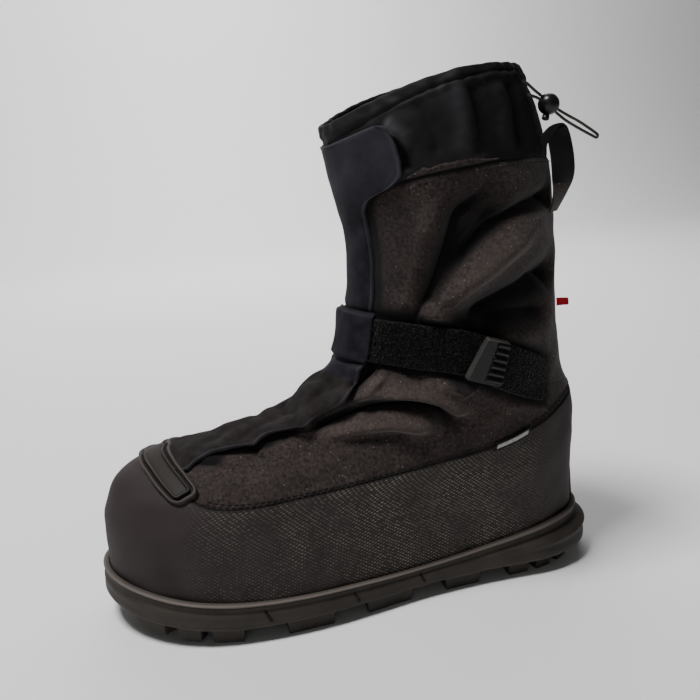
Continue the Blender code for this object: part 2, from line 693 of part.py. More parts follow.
def upper(parts, fabric):
    """Hollow fabric upper, open at the sole and at the collar, with a step at its panel seam"""
    turns = np.arange(AROUND) / AROUND
    seam = seam_level(turns)
    edge = 0.0022
    rows = [(np.full(AROUND, level), PANEL_STEP) for level in (0.0, SEAT_HOLD)]
    for share in (0.24, 0.44, 0.62, 0.79):
        rows.append((SEAT_HOLD + (seam - SEAT_HOLD) * share, PANEL_STEP))
    rows.append((seam - edge, PANEL_STEP))
    rows.append((seam + edge, 0.0))
    for share in (0.35, 0.70):
        rows.append((seam + edge + (UPPER_LEVELS[0] - seam - edge) * share, 0.0))
    for level in UPPER_LEVELS:
        rows.append((np.full(AROUND, level), 0.0))
    outer = [lifted(turns, level, np.full(AROUND, lift)) for level, lift in rows]
    kept = [rows[0], rows[1]] + rows[3:-1:2] + [rows[-1]]
    inner = [lifted(turns, level, np.full(AROUND, -UPPER_WALL)) for level, lift in reversed(kept)]
    return add_object("upper", solid_of_rings("upper", outer + inner, False), parts, fabric)


def collar(parts, satin):
    """Thin cuff on top of the shaft, swelling into the drawcord's casing at its rim"""
    turns = np.arange(AROUND) / AROUND
    start = SHAFT_TOP + FIT / climb(turns, np.full(AROUND, SHAFT_TOP))
    rows = [(0.0, 0.0), (0.30, 0.0), (0.60, 0.0), (0.78, 0.0), (0.82, 1.0), (0.93, 1.2), (1.0, 0.4)]
    outer = [lifted(turns, start + (1.0 - start) * share, np.full(AROUND, swell * CASING_SWELL))
             for share, swell in rows]
    inner = [lifted(turns, start + (1.0 - start) * share, np.full(AROUND, -COLLAR_WALL))
             for share in (1.0, 0.8, 0.4, 0.0)]
    return add_object("collar", solid_of_rings("collar", outer + inner, False), parts, satin)


def toe_band(parts, rubber):
    """Raised band across the toe: a ridge along each edge and a channel between them"""
    shares = np.linspace(-1.0, 1.0, 21)
    across = np.array([row[0] for row in BAND_PROFILE])
    height = np.array([row[1] for row in BAND_PROFILE])
    share, width = np.meshgrid(shares, across, indexing="ij")
    turn = share * (BAND_END + BAND_END_LEAN * width)
    front = read_rows(BAND_ROWS, np.abs(turn), 1)
    rear = read_rows(BAND_ROWS, np.abs(turn), 2)
    level = front + (rear - front) * width
    closing = smoothstep((np.abs(share) - 0.88) / 0.06)
    lift = height[None, :] + (np.minimum(BAND_RIDGE, 1.4 * height[None, :]) - height[None, :]) * closing
    lift = np.where(np.abs(share) > 0.999, np.minimum(lift, 0.35 * BAND_RIDGE), lift)
    base = PANEL_STEP + LAY
    inner = lifted(turn, level, np.full(turn.shape, base))
    outer = lifted(turn, level, base + lift)
    return add_object("toe_band", solid_patch("toe_band", inner, outer), parts, rubber)


def front_flap(parts, fabric):
    """Flap down the front of the boot, from its wide tab at the collar to the toe band"""
    levels = np.array([row[0] for row in FLAP_ROWS])
    shares = np.linspace(0.0, 1.0, 12)
    level, share = np.meshgrid(levels, shares, indexing="ij")
    left = read_rows(FLAP_ROWS, level, 1)
    right = read_rows(FLAP_ROWS, level, 2)
    turn = left + (right - left) * share
    rear = read_rows(BAND_ROWS, np.abs(turn), 2)
    follow = 1.0 - smoothstep((level - levels[0]) / 0.14)
    level = level + (rear - BAND_ROWS[0][2]) * follow
    base = LAY + PANEL_STEP * (1.0 - smoothstep((level - 0.36) / 0.02))
    base = base + LAY * smoothstep((level - 0.83) / 0.035)
    inner = lifted(turn, level, base)
    outer = lifted(turn, level, base + FLAP_THICKNESS)
    return add_object("front_flap", solid_patch("front_flap", inner, outer), parts, fabric)


def strap_base(turn):
    """Height of the strap's inner face: on the upper at its ends, over the flap in front"""
    first, second, third, fourth = STRAP_OVER_FLAP
    up = smoothstep((turn - first) / (second - first))
    down = smoothstep((turn - third) / (fourth - third))
    return LAY + (FLAP_THICKNESS + 1.5 * LAY) * up * (1.0 - down)


def strap_levels(turns, offsets):
    """Levels at heights over and under the middle of the strap"""
    middle = read_rows(STRAP_ROWS, np.abs(turns))
    levels = [[level_at_height(turn, height + offset) for offset in offsets]
              for turn, height in zip(turns, middle)]
    return np.array(levels)


def webbing(name, ends, pieces, parts, material):
    """Length of strap webbing around the boot"""
    turns = np.linspace(ends[0], ends[1], pieces)
    level = strap_levels(turns, np.linspace(-0.5, 0.5, 4) * WEBBING_WIDTH)
    turn = np.broadcast_to(turns[:, None], level.shape)
    base = strap_base(turn)
    inner = lifted(turn, level, base)
    outer = lifted(turn, level, base + WEBBING_THICKNESS)
    return add_object(name, solid_patch(name, inner, outer), parts, material)


def strap_keeper(parts, fabric):
    """Fabric band over the strap at the front, turned down to the flap along both edges"""
    turns = np.linspace(KEEPER_ENDS[0], KEEPER_ENDS[1], 14)
    reach = WEBBING_WIDTH / 2.0 + LAY
    full = reach + KEEPER_THICKNESS + KEEPER_MARGIN
    offsets = np.array([-full, -reach - KEEPER_THICKNESS, -reach, 0.0, reach, reach + KEEPER_THICKNESS, full])
    low = LAY + FLAP_THICKNESS + 2.0 * LAY
    high = low + WEBBING_THICKNESS + 1.5 * LAY
    inner_lift = np.array([low, low, high, high, high, low, low])
    outer_lift = np.array([low, high, high, high, high, high, low]) + KEEPER_THICKNESS
    level = strap_levels(turns, offsets)
    turn = np.broadcast_to(turns[:, None], level.shape)
    inner = lifted(turn, level, np.broadcast_to(inner_lift, turn.shape))
    outer = lifted(turn, level, np.broadcast_to(outer_lift, turn.shape))
    return add_object("strap_keeper", solid_patch("strap_keeper", inner, outer), parts, fabric)


def side_label(parts, fabric):
    """Woven label over the panel seam on the outer side"""
    turns = np.linspace(LABEL_ENDS[0], LABEL_ENDS[1], 7)
    shares = np.array([-1.0, 0.0, 1.0])
    turn, share = np.meshgrid(turns, shares, indexing="ij")
    middle = seam_level(turns)
    level = middle[:, None] + share * (LABEL_WIDTH / 2.0) / climb(turns, middle)[:, None]
    base = np.full(turn.shape, PANEL_STEP + LAY)
    inner = lifted(turn, level, base)
    outer = lifted(turn, level, base + LABEL_THICKNESS)
    return add_object("side_label", solid_patch("side_label", inner, outer), parts, fabric)


def heel_guard(parts, rubber):
    """Rubber strip that stands on the rim and tapers up the back of the heel"""
    base_level = level_at_height(0.5, HEEL_RIM + FIT)
    top_level = level_at_height(0.5, HEEL_RIM + GUARD_HEIGHT)
    width = float(np.linalg.norm(surface(0.52, base_level) - surface(0.48, base_level))) / 0.04
    shares = np.linspace(-1.0, 1.0, 9)
    heights = np.array([0.0, 0.3, 0.6, 0.85, 1.0])
    narrow = np.array([1.0, 0.88, 0.76, 0.62, 0.42])
    height, share = np.meshgrid(heights, shares, indexing="ij")
    turn = 0.5 + share * narrow[:, None] * GUARD_WIDTH / 2.0 / width
    foot = np.array([level_at_height(t, float(rim_height(along_at(surface(t, base_level)[0]))) + FIT)
                     for t in turn[0]])
    level = foot[None, :] + (top_level - foot[None, :]) * height
    base = np.full(turn.shape, PANEL_STEP + LAY)
    edge = np.where((np.abs(share) > 0.99) | (height > 0.99), 0.5, 1.0)
    inner = lifted(turn, level, base)
    outer = lifted(turn, level, base + GUARD_THICKNESS * edge)
    return add_object("heel_guard", solid_patch("heel_guard", inner, outer), parts, rubber)


def strap_frame(turn, lift):
    """Matrix on the strap: X along it to the heel, Y across it and Z out of the boot"""
    reach = 0.02
    turns = np.array([turn - reach, turn, turn + reach])
    levels = strap_levels(turns, [0.0])[:, 0]
    before, place, after = lifted(turns, levels, np.full(3, lift))
    out = Vector(normal(turn, levels[1]))
    run = Vector(after - before)
    along = (run - run.dot(out) * out).normalized()
    return axes_matrix(place, along, out.cross(along), out)


def buckle(parts, tools, plastic):
    """Strap buckle: tapered plate with a raised rim, a sunk floor and a row of grip ribs"""
    half_length = BUCKLE_LENGTH / 2.0
    half_width = BUCKLE_WIDTH / 2.0
    plan = [
        (-half_length, -half_width), (half_length, -half_width),
        (half_length - BUCKLE_TAPER, half_width), (-half_length + BUCKLE_LEAN, half_width),
    ]
    body = bmesh.new()
    base = [body.verts.new((x, y, 0.0)) for x, y in plan]
    face = body.faces.new(base)
    top = bmesh.ops.extrude_face_region(body, geom=[face])
    raised = [item for item in top["geom"] if isinstance(item, bmesh.types.BMVert)]
    bmesh.ops.translate(body, verts=raised, vec=(0.0, 0.0, BUCKLE_HEIGHT))
    bmesh.ops.recalc_face_normals(body, faces=body.faces)
    mesh = bpy.data.meshes.new("buckle")
    body.to_mesh(mesh)
    body.free()
    plate = add_object("buckle", mesh, parts, plastic)
    matrix = strap_frame(BUCKLE_PLACE, LAY + WEBBING_THICKNESS + 2.0 * FIT)
    matrix = matrix @ Matrix.Rotation(math.radians(BUCKLE_TURN), 4, "Z")
    plate.matrix_world = matrix
    rounded = plate.modifiers.new("rounded corners", "BEVEL")
    rounded.width = BUCKLE_CORNER
    rounded.segments = 2
    rounded.limit_method = "ANGLE"
    rounded.angle_limit = math.radians(60.0)
    rounded.affect = "EDGES"
    pocket = bpy.data.meshes.new("buckle_pocket")
    body = bmesh.new()
    bmesh.ops.create_cube(body, size=1.0)
    body.to_mesh(pocket)
    body.free()
    hollow = add_object("buckle_pocket", pocket, tools, plastic, 0.0)
    pocket_length = BUCKLE_LENGTH - BUCKLE_LEAN - BUCKLE_TAPER - 2.0 * BUCKLE_RIM
    size = Vector((pocket_length, BUCKLE_WIDTH - 2.0 * BUCKLE_RIM, BUCKLE_HEIGHT))
    middle = (BUCKLE_LEAN - BUCKLE_TAPER) / 2.0
    shift = Vector((middle, 0.0, 1.5 * BUCKLE_HEIGHT - BUCKLE_POCKET))
    hollow.matrix_world = matrix @ Matrix.Translation(shift) @ Matrix.Diagonal((*size, 1.0))
    add_boolean(plate, hollow, "DIFFERENCE")
    for i in range(BUCKLE_RIBS):
        across = (i - (BUCKLE_RIBS - 1) / 2.0) * (BUCKLE_WIDTH - 2.0 * BUCKLE_RIM) / BUCKLE_RIBS
        rib_length = 0.55 * pocket_length
        rib_mesh = bpy.data.meshes.new("buckle_rib")
        body = bmesh.new()
        bmesh.ops.create_cone(body, cap_ends=True, segments=8, radius1=RIB_RADIUS, radius2=RIB_RADIUS,
                              depth=rib_length)
        body.to_mesh(rib_mesh)
        body.free()
        rib = add_object("buckle_rib_%d" % i, rib_mesh, tools, plastic, 0.0)
        place = Matrix.Translation((middle + 0.19 * pocket_length, across, BUCKLE_HEIGHT - BUCKLE_POCKET))
        rib.matrix_world = matrix @ place @ Matrix.Rotation(math.radians(90.0), 4, "Y")
        add_boolean(plate, rib, "UNION")
    return plate


def back_tab(parts, fabric):
    """Small folded tab that sticks out of the seam at the back of the shaft"""
    turn, level = TAB_PLACE
    place = lifted(turn, level, np.array(FIT + TAB_REACH / 2.0))
    out = Vector(normal(turn, level))
    across = Vector((0.0, 0.0, 1.0)).cross(out).normalized()
    mesh = bpy.data.meshes.new("back_tab")
    body = bmesh.new()
    bmesh.ops.create_cube(body, size=1.0)
    bmesh.ops.scale(body, verts=body.verts, vec=(TAB_REACH, TAB_THICKNESS, TAB_HEIGHT))
    body.to_mesh(mesh)
    body.free()
    tab = add_object("back_tab", mesh, parts, fabric, 0.0)
    tab.matrix_world = axes_matrix(place, out, across, out.cross(across))
    return tab


def cord_lock(parts, tools, plastic):
    """Ball with a bore for both strands of the cord, and its push button below"""
    axis = Vector(LOCK_AXIS).normalized()
    mesh = bpy.data.meshes.new("cord_lock")
    body = bmesh.new()
    bmesh.ops.create_uvsphere(body, u_segments=16, v_segments=10, radius=LOCK_RADIUS)
    body.to_mesh(mesh)
    body.free()
    ball = add_object("cord_lock", mesh, parts, plastic, 50.0)
    ball.location = LOCK_PLACE
    bore_mesh = bpy.data.meshes.new("lock_bore")
    body = bmesh.new()
    bmesh.ops.create_cone(body, cap_ends=True, segments=12, radius1=LOCK_BORE, radius2=LOCK_BORE,
                          depth=4.0 * LOCK_RADIUS)
    body.to_mesh(bore_mesh)
    body.free()
    bore = add_object("lock_bore", bore_mesh, tools, plastic, 0.0)
    bore.matrix_world = Matrix.Translation(LOCK_PLACE) @ axis.to_track_quat("Z", "Y").to_matrix().to_4x4()
    add_boolean(ball, bore, "DIFFERENCE")
    down = Vector((-0.30, -0.10, -0.95)).normalized()
    stem_mesh = bpy.data.meshes.new("cord_lock_button")
    body = bmesh.new()
    bmesh.ops.create_cone(body, cap_ends=True, segments=12, radius1=PLUNGER_RADIUS,
                          radius2=PLUNGER_RADIUS, depth=PLUNGER_LENGTH)
    body.to_mesh(stem_mesh)
    body.free()
    button = add_object("cord_lock_button", stem_mesh, parts, plastic, 40.0)
    centre = Vector(LOCK_PLACE) + down * (LOCK_RADIUS + FIT + PLUNGER_LENGTH / 2.0)
    button.matrix_world = Matrix.Translation(centre) @ down.to_track_quat("Z", "Y").to_matrix().to_4x4()
    return ball, button


def pull_loop(parts, tape):
    """Twisted tape loop sewn on behind the collar"""
    rows = []
    for turn, level, lift, across in LOOP_ROWS:
        rows.append((Vector(lifted(turn, level, np.array(lift))), Vector(across).normalized()))
    inner = []
    outer = []
    for i, (middle, across) in enumerate(rows):
        before = rows[max(i - 1, 0)][0]
        after = rows[min(i + 1, len(rows) - 1)][0]
        ahead = (after - before).normalized()
        face = ahead.cross(across).normalized()
        width = TAPE_WIDTH / 2.0
        for grid, lift in ((inner, 0.0), (outer, TAPE_THICKNESS)):
            grid.append([tuple(middle + across * width * share + face * lift) for share in (-1.0, 0.0, 1.0)])
    mesh = solid_patch("pull_loop", np.array(inner), np.array(outer))
    return add_object("pull_loop", mesh, parts, tape)


def main():
    clear_scene()
    parts = make_collection("winter_overshoe")
    tools = make_collection("cutters")
    rubber = make_material("outsole rubber", (0.022, 0.020, 0.019), 0.55)
    foam = make_material("footbed foam", (0.030, 0.030, 0.032), 0.85)
    heather = make_material("brown heather nylon", (0.060, 0.046, 0.043), 0.80)
    navy = make_material("navy nylon", (0.014, 0.014, 0.024), 0.60)
    satin = make_material("black coated nylon", (0.010, 0.010, 0.010), 0.45)
    pile = make_material("black webbing", (0.008, 0.008, 0.008), 0.95)
    plastic = make_material("black acetal", (0.012, 0.012, 0.012), 0.25)
    red = make_material("red tape", (0.500, 0.012, 0.020), 0.70)
    cord = make_material("black elastic cord", (0.012, 0.012, 0.010), 0.35)
    outsole(parts, tools, rubber)
    insole(parts, foam)
    upper(parts, heather)
    collar(parts, satin)
    toe_band(parts, rubber)
    front_flap(parts, navy)
    webbing("strap", STRAP_ENDS, 43, parts, pile)
    webbing("strap_anchor", ANCHOR_ENDS, 7, parts, pile)
    strap_keeper(parts, navy)
    buckle(parts, tools, plastic)
    side_label(parts, satin)
    heel_guard(parts, rubber)
    back_tab(parts, red)
    pull_loop(parts, satin)
    cord_lock(parts, tools, plastic)
    tube("drawcord", CORD_POINTS, CORD_RADIUS, parts, cord)


main()
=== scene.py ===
# %% [markdown]
# # A winter overshoe
# A winter overshoe is a tall insulated boot that goes over a shoe. This file dresses the packed
# model of one, the left: it keeps the hard, measured frame and gives every surface its real cloth,
# rubber or plastic. It could be sculpted by hand, but a boot is mostly one smooth tube of cloth,
# so here one small function gives that tube, and every fold, seam and strap is placed on it in
# the boot's own measures.

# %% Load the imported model
import math

import bmesh
import bpy
import numpy as np
from mathutils import Matrix, Vector


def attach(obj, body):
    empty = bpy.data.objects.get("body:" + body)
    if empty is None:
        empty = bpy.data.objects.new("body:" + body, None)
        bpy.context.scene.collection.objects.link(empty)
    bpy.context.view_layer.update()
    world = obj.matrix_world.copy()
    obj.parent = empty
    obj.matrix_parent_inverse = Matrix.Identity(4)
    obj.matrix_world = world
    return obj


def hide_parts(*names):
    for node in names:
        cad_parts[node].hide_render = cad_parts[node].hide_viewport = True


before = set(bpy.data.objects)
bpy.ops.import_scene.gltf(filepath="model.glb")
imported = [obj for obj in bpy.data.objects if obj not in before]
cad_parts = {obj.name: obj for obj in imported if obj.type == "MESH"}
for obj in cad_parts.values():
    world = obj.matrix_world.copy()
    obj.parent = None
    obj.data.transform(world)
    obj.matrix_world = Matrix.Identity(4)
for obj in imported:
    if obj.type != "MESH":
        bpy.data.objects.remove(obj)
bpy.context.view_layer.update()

print("solids in the frame:", len(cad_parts))

# %% [markdown]
# ## Camera, light and floor
# The picture shows the outer side, from a little towards the toe and a little above. The camera
# stands half a metre away, so the toe looks a little larger than the heel. The light is a plain
# studio: a soft lamp high on the toe's side, a weak one in front, one behind for the rim, one for
# the paper, and a pale room.

# %% Camera
SENSOR_WIDTH = 36.0
LENS = 40.55
CAMERA_PLACE = Vector((-0.1819, -0.4999, 0.2820))
CAMERA_TARGET = Vector((-0.0683, 0.0000, 0.1614))
CAMERA_ROLL = math.radians(-3.39)


def add_to_scene(thing):
    bpy.context.scene.collection.objects.link(thing)
    return thing


def look_along(direction, roll=0.0):
    """Turn that points a camera's or a lamp's -Z along a direction"""
    turned = direction.to_track_quat("-Z", "Y").to_matrix() @ Matrix.Rotation(roll, 3, "Z")
    return turned.to_euler()


lens = bpy.data.cameras.new("camera")
lens.sensor_width = SENSOR_WIDTH
lens.lens = LENS
camera = add_to_scene(bpy.data.objects.new("camera", lens))
camera.location = CAMERA_PLACE
camera.rotation_euler = look_along(CAMERA_TARGET - CAMERA_PLACE, CAMERA_ROLL)
bpy.context.scene.camera = camera
print("camera distance: %.0f mm" % (1000 * (CAMERA_TARGET - CAMERA_PLACE).length))

# %% Light
BOOT_MIDDLE = Vector((-0.06, 0.0, 0.15))
# Each lamp: name, place, what it points at, side in metres, power in watts
LAMPS = [
    ("key lamp", (-0.60, -0.22, 1.72), BOOT_MIDDLE, 0.45, 36.0),
    ("front lamp", (-0.70, -1.55, 0.60), BOOT_MIDDLE, 0.9, 1.3),
    ("rim lamp", (0.55, 0.90, 1.20), BOOT_MIDDLE, 0.6, 3.0),
    ("paper lamp", (0.00, 1.60, 1.90), Vector((0.0, 3.0, 0.3)), 1.4, 70.0),
]
ROOM_WHITE = 0.07
FLOOR_WHITE = 0.84

for name, place, target, side, power in LAMPS:
    lamp = bpy.data.lights.new(name, "AREA")
    lamp.shape = "SQUARE"
    lamp.size = side
    lamp.energy = power
    holder = add_to_scene(bpy.data.objects.new(name, lamp))
    holder.location = place
    holder.rotation_euler = look_along(target - Vector(place))

world = bpy.data.worlds.new("pale room")
world.use_nodes = True
world.node_tree.nodes["Background"].inputs["Color"].default_value = (1.0, 1.0, 1.0, 1.0)
world.node_tree.nodes["Background"].inputs["Strength"].default_value = ROOM_WHITE
bpy.context.scene.world = world

# %% [markdown]
# ## How materials are made here
# A material starts as sRGB hex colours, the way a colour picker shows them, and the shader wants
# linear values, so one function converts them. One more adds a node with its settings and
# links, so each material below reads as a short list of what the surface is made of.

# %% Colour and node helpers
MM = 0.001


def ink(code):
    """Linear colour from an sRGB hex code"""
    shares = [int(code[i:i + 2], 16) / 255.0 for i in (1, 3, 5)]
    linear = [s / 12.92 if s <= 0.04045 else ((s + 0.055) / 1.055) ** 2.4 for s in shares]
    return (*linear, 1.0)


def feed(node, inputs):
    """Give inputs a value, another node's output, or a node, which stands for its first output"""
    for name, value in inputs.items():
        if isinstance(value, bpy.types.Node):
            value = value.outputs[0]
        if isinstance(value, bpy.types.NodeSocket):
            node.id_data.links.new(value, node.inputs[name])
        else:
            node.inputs[name].default_value = value
    return node


def put(tree, kind, inputs=None, **settings):
    """Add a node with its settings and inputs"""
    made = tree.nodes.new("ShaderNode" + kind)
    for name, value in settings.items():
        setattr(made, name, value)
    return feed(made, inputs or {})


def new_material(name, roughness, specular=0.5):
    """Material, its tree, its shader, and the place on the piece that its patterns follow"""
    material = bpy.data.materials.new(name)
    material.use_nodes = True
    shader = material.node_tree.nodes["Principled BSDF"]
    feed(shader, {"Roughness": roughness, "Specular IOR Level": specular})
    place = put(material.node_tree, "TexCoord").outputs["Object"]
    return material, material.node_tree, shader, place


def per_metre(size):
    """Noise scale whose features are about one size across"""
    return 1.0 / size


print("a pattern of one millimetre has a scale of", per_metre(MM))

# %% [markdown]
# ## Floor
# A photographer's paper sweep: a flat floor that curves up into a wall behind the boot, so no
# edge shows. It is stage, not part of the boot.

# %% Paper sweep
SWEEP_WIDTH = 9.0
SWEEP_FRONT = -3.0
SWEEP_BACK = 3.2
SWEEP_BEND = 1.0
SWEEP_TOP = 4.0

paper, _, paper_shader, _ = new_material("matte paper", 0.9, 0.2)
feed(paper_shader, {"Base Color": (FLOOR_WHITE, FLOOR_WHITE, FLOOR_WHITE, 1.0)})
section = [(SWEEP_FRONT, 0.0)]
for angle in np.linspace(0.0, math.pi / 2.0, 24):
    section.append((SWEEP_BACK - SWEEP_BEND * (1.0 - math.sin(angle)),
                    SWEEP_BEND * (1.0 - math.cos(angle))))
section.append((SWEEP_BACK, SWEEP_TOP))
corners = [(side * SWEEP_WIDTH / 2.0, y, z) for y, z in section for side in (-1, 1)]
strips = [(2 * i, 2 * i + 1, 2 * i + 3, 2 * i + 2) for i in range(len(section) - 1)]
sweep_mesh = bpy.data.meshes.new("paper_sweep")
sweep_mesh.from_pydata(corners, [], strips)
sweep_mesh.materials.append(paper)
sweep_mesh.shade_smooth()
sweep = add_to_scene(bpy.data.objects.new("paper_sweep", sweep_mesh))

# %% [markdown]
# ## The boot's form
# The cloth is a stack of rings from the seat of the sole to the rim of the collar. Two numbers
# find any place on it. The turn is a share of the way around: 0 at the toe, 0.25 on the outer
# side, 0.5 at the heel. The level is a share of the way up. The tables hold the rings as shares
# of named sizes, and a smooth curve joins their rows.

# %% Named sizes
# Plan of the outsole's rim
SOLE_LENGTH = 0.334
HEEL_REACH = 0.092
TOE_REACH = SOLE_LENGTH - HEEL_REACH
BALL_WIDTH = 0.130
HEEL_WIDTH = 0.090
TOE_SWING = 0.007
TOE_ROUND = 0.25
HEEL_ROUND = 0.16

# Heights of the outsole
TREAD_DEPTH = 0.009
TOE_SPRING = 0.010
TOE_RIM = 0.037
BALL_RIM = 0.027
WAIST_RIM = 0.023
HEEL_RIM = 0.037
RIM_WIDTH = 0.0030
SEAT_DEPTH = 0.0030
SIDE_RELIEF = 0.0010
HEEL_LEDGE = 0.0045

# Tread and grooves
LUG_WIDTH = 0.022
LUG_DRAFT = 0.0012
LUG_ROOT = 0.0015
LUG_INSET = 0.0025
GROOVE_WIDTH = 0.0016
GROOVE_DEPTH = 0.0012
GROOVE_LEAN = 0.45

# Upper
TOE_HEIGHT = 0.110
INSTEP_HEIGHT = 0.154
SHAFT_HEIGHT = 0.284
COLLAR_RISE = 0.052
SHAFT_FRONT = 0.072
SHAFT_BACK = 0.076
SHAFT_WIDTH = 0.114
UPPER_WALL = 0.0026
PANEL_STEP = 0.0008
COLLAR_WALL = 0.0014
CASING_SWELL = 0.0012
# Level of the seam between the shaft and the collar
SHAFT_TOP = 0.892

# Pieces that lie on the upper
FIT = 0.0003
LAY = 0.0005
INSOLE_THICKNESS = 0.0030
FLAP_THICKNESS = 0.0012
WEBBING_WIDTH = 0.0280
WEBBING_THICKNESS = 0.0018
KEEPER_MARGIN = 0.0020
KEEPER_THICKNESS = 0.0011
LABEL_THICKNESS = 0.0006
LABEL_WIDTH = 0.0062
GUARD_THICKNESS = 0.0020
GUARD_WIDTH = 0.020
GUARD_HEIGHT = 0.024

# Buckle, back tab, cord lock and cord
BUCKLE_LENGTH = 0.0255
BUCKLE_WIDTH = 0.030
BUCKLE_LEAN = 0.21 * BUCKLE_LENGTH
BUCKLE_TAPER = 0.14 * BUCKLE_LENGTH
BUCKLE_HEIGHT = 0.0042
BUCKLE_CORNER = 0.0030
BUCKLE_POCKET = 0.45 * BUCKLE_HEIGHT
BUCKLE_RIBS = 6
TAB_REACH = 0.0080
TAB_HEIGHT = 0.0050
TAB_THICKNESS = 0.0010
LOCK_RADIUS = 0.0066
LOCK_BORE = 0.0028
PLUNGER_RADIUS = 0.0022
PLUNGER_LENGTH = 0.0030
CORD_RADIUS = 0.0009
TAPE_WIDTH = 0.0160
TAPE_THICKNESS = 0.0012

# Small step in turn or level, for slopes
STEP = 1.0e-4

# %% Tables of the rings
# Outline of the rim: share of the length from the toe, outer and inner half widths
OUTLINE_ROWS = [
    (0.00, 0.510 * BALL_WIDTH, 0.475 * BALL_WIDTH),
    (0.20, 0.510 * BALL_WIDTH, 0.475 * BALL_WIDTH),
    (0.32, 0.512 * BALL_WIDTH, 0.470 * BALL_WIDTH),
    (0.42, 0.488 * BALL_WIDTH, 0.448 * BALL_WIDTH),
    (0.50, 0.450 * BALL_WIDTH, 0.405 * BALL_WIDTH),
    (0.60, 0.575 * HEEL_WIDTH, 0.515 * HEEL_WIDTH),
    (0.72, 0.528 * HEEL_WIDTH, 0.485 * HEEL_WIDTH),
    (0.84, 0.500 * HEEL_WIDTH, 0.490 * HEEL_WIDTH),
    (1.00, 0.480 * HEEL_WIDTH, 0.480 * HEEL_WIDTH),
]

# Side of the outsole: share of the length from the toe, rim height, lift of the tread
SIDE_ROWS = [
    (0.00, 1.00 * TOE_RIM, 1.00 * TOE_SPRING),
    (0.06, 0.93 * TOE_RIM, 0.60 * TOE_SPRING),
    (0.14, 0.82 * TOE_RIM, 0.25 * TOE_SPRING),
    (0.24, 1.00 * BALL_RIM, 0.00 * TOE_SPRING),
    (0.45, 0.90 * BALL_RIM, 0.00 * TOE_SPRING),
    (0.60, 1.00 * WAIST_RIM, 0.00 * TOE_SPRING),
    (0.78, 0.78 * HEEL_RIM, 0.00 * TOE_SPRING),
    (0.92, 0.97 * HEEL_RIM, 0.00 * TOE_SPRING),
    (1.00, 1.00 * HEEL_RIM, 0.00 * TOE_SPRING),
]

# Profile of the side: share of the wall's height, stand-out, share of the heel ledge
PROFILE_ROWS = [
    (0.00, -2.00 * SIDE_RELIEF, 0.80),
    (0.08, -0.30 * SIDE_RELIEF, 1.00),
    (0.40, 0.50 * SIDE_RELIEF, 1.00),
    (0.62, 0.20 * SIDE_RELIEF, 1.00),
    (0.69, -0.10 * SIDE_RELIEF, 0.10),
    (0.85, -0.70 * SIDE_RELIEF, 0.00),
    (0.89, 0.50 * SIDE_RELIEF, 0.00),
    (0.96, 0.70 * SIDE_RELIEF, 0.00),
    (1.00, 0.00 * SIDE_RELIEF, 0.00),
]

# Lugs along each edge: start and end as shares of the length from the toe
LUG_ROWS = [
    (0.045, 0.100),
    (0.122, 0.166),
    (0.184, 0.246),
    (0.325, 0.420),
    (0.486, 0.586),
    (0.658, 0.738),
    (0.802, 0.850),
    (0.868, 0.908),
    (0.928, 0.968),
]

# Bars down the middle of the tread: start, end, half width
BAR_ROWS = [
    (0.190, 0.240, 0.16 * BALL_WIDTH),
    (0.275, 0.340, 0.20 * BALL_WIDTH),
    (0.375, 0.430, 0.19 * BALL_WIDTH),
    (0.490, 0.560, 0.22 * HEEL_WIDTH),
    (0.705, 0.770, 0.17 * HEEL_WIDTH),
    (0.810, 0.870, 0.16 * HEEL_WIDTH),
]

# Grooves across the side, as shares of the length from the toe
GROOVE_PLACES = (0.300, 0.470, 0.610)

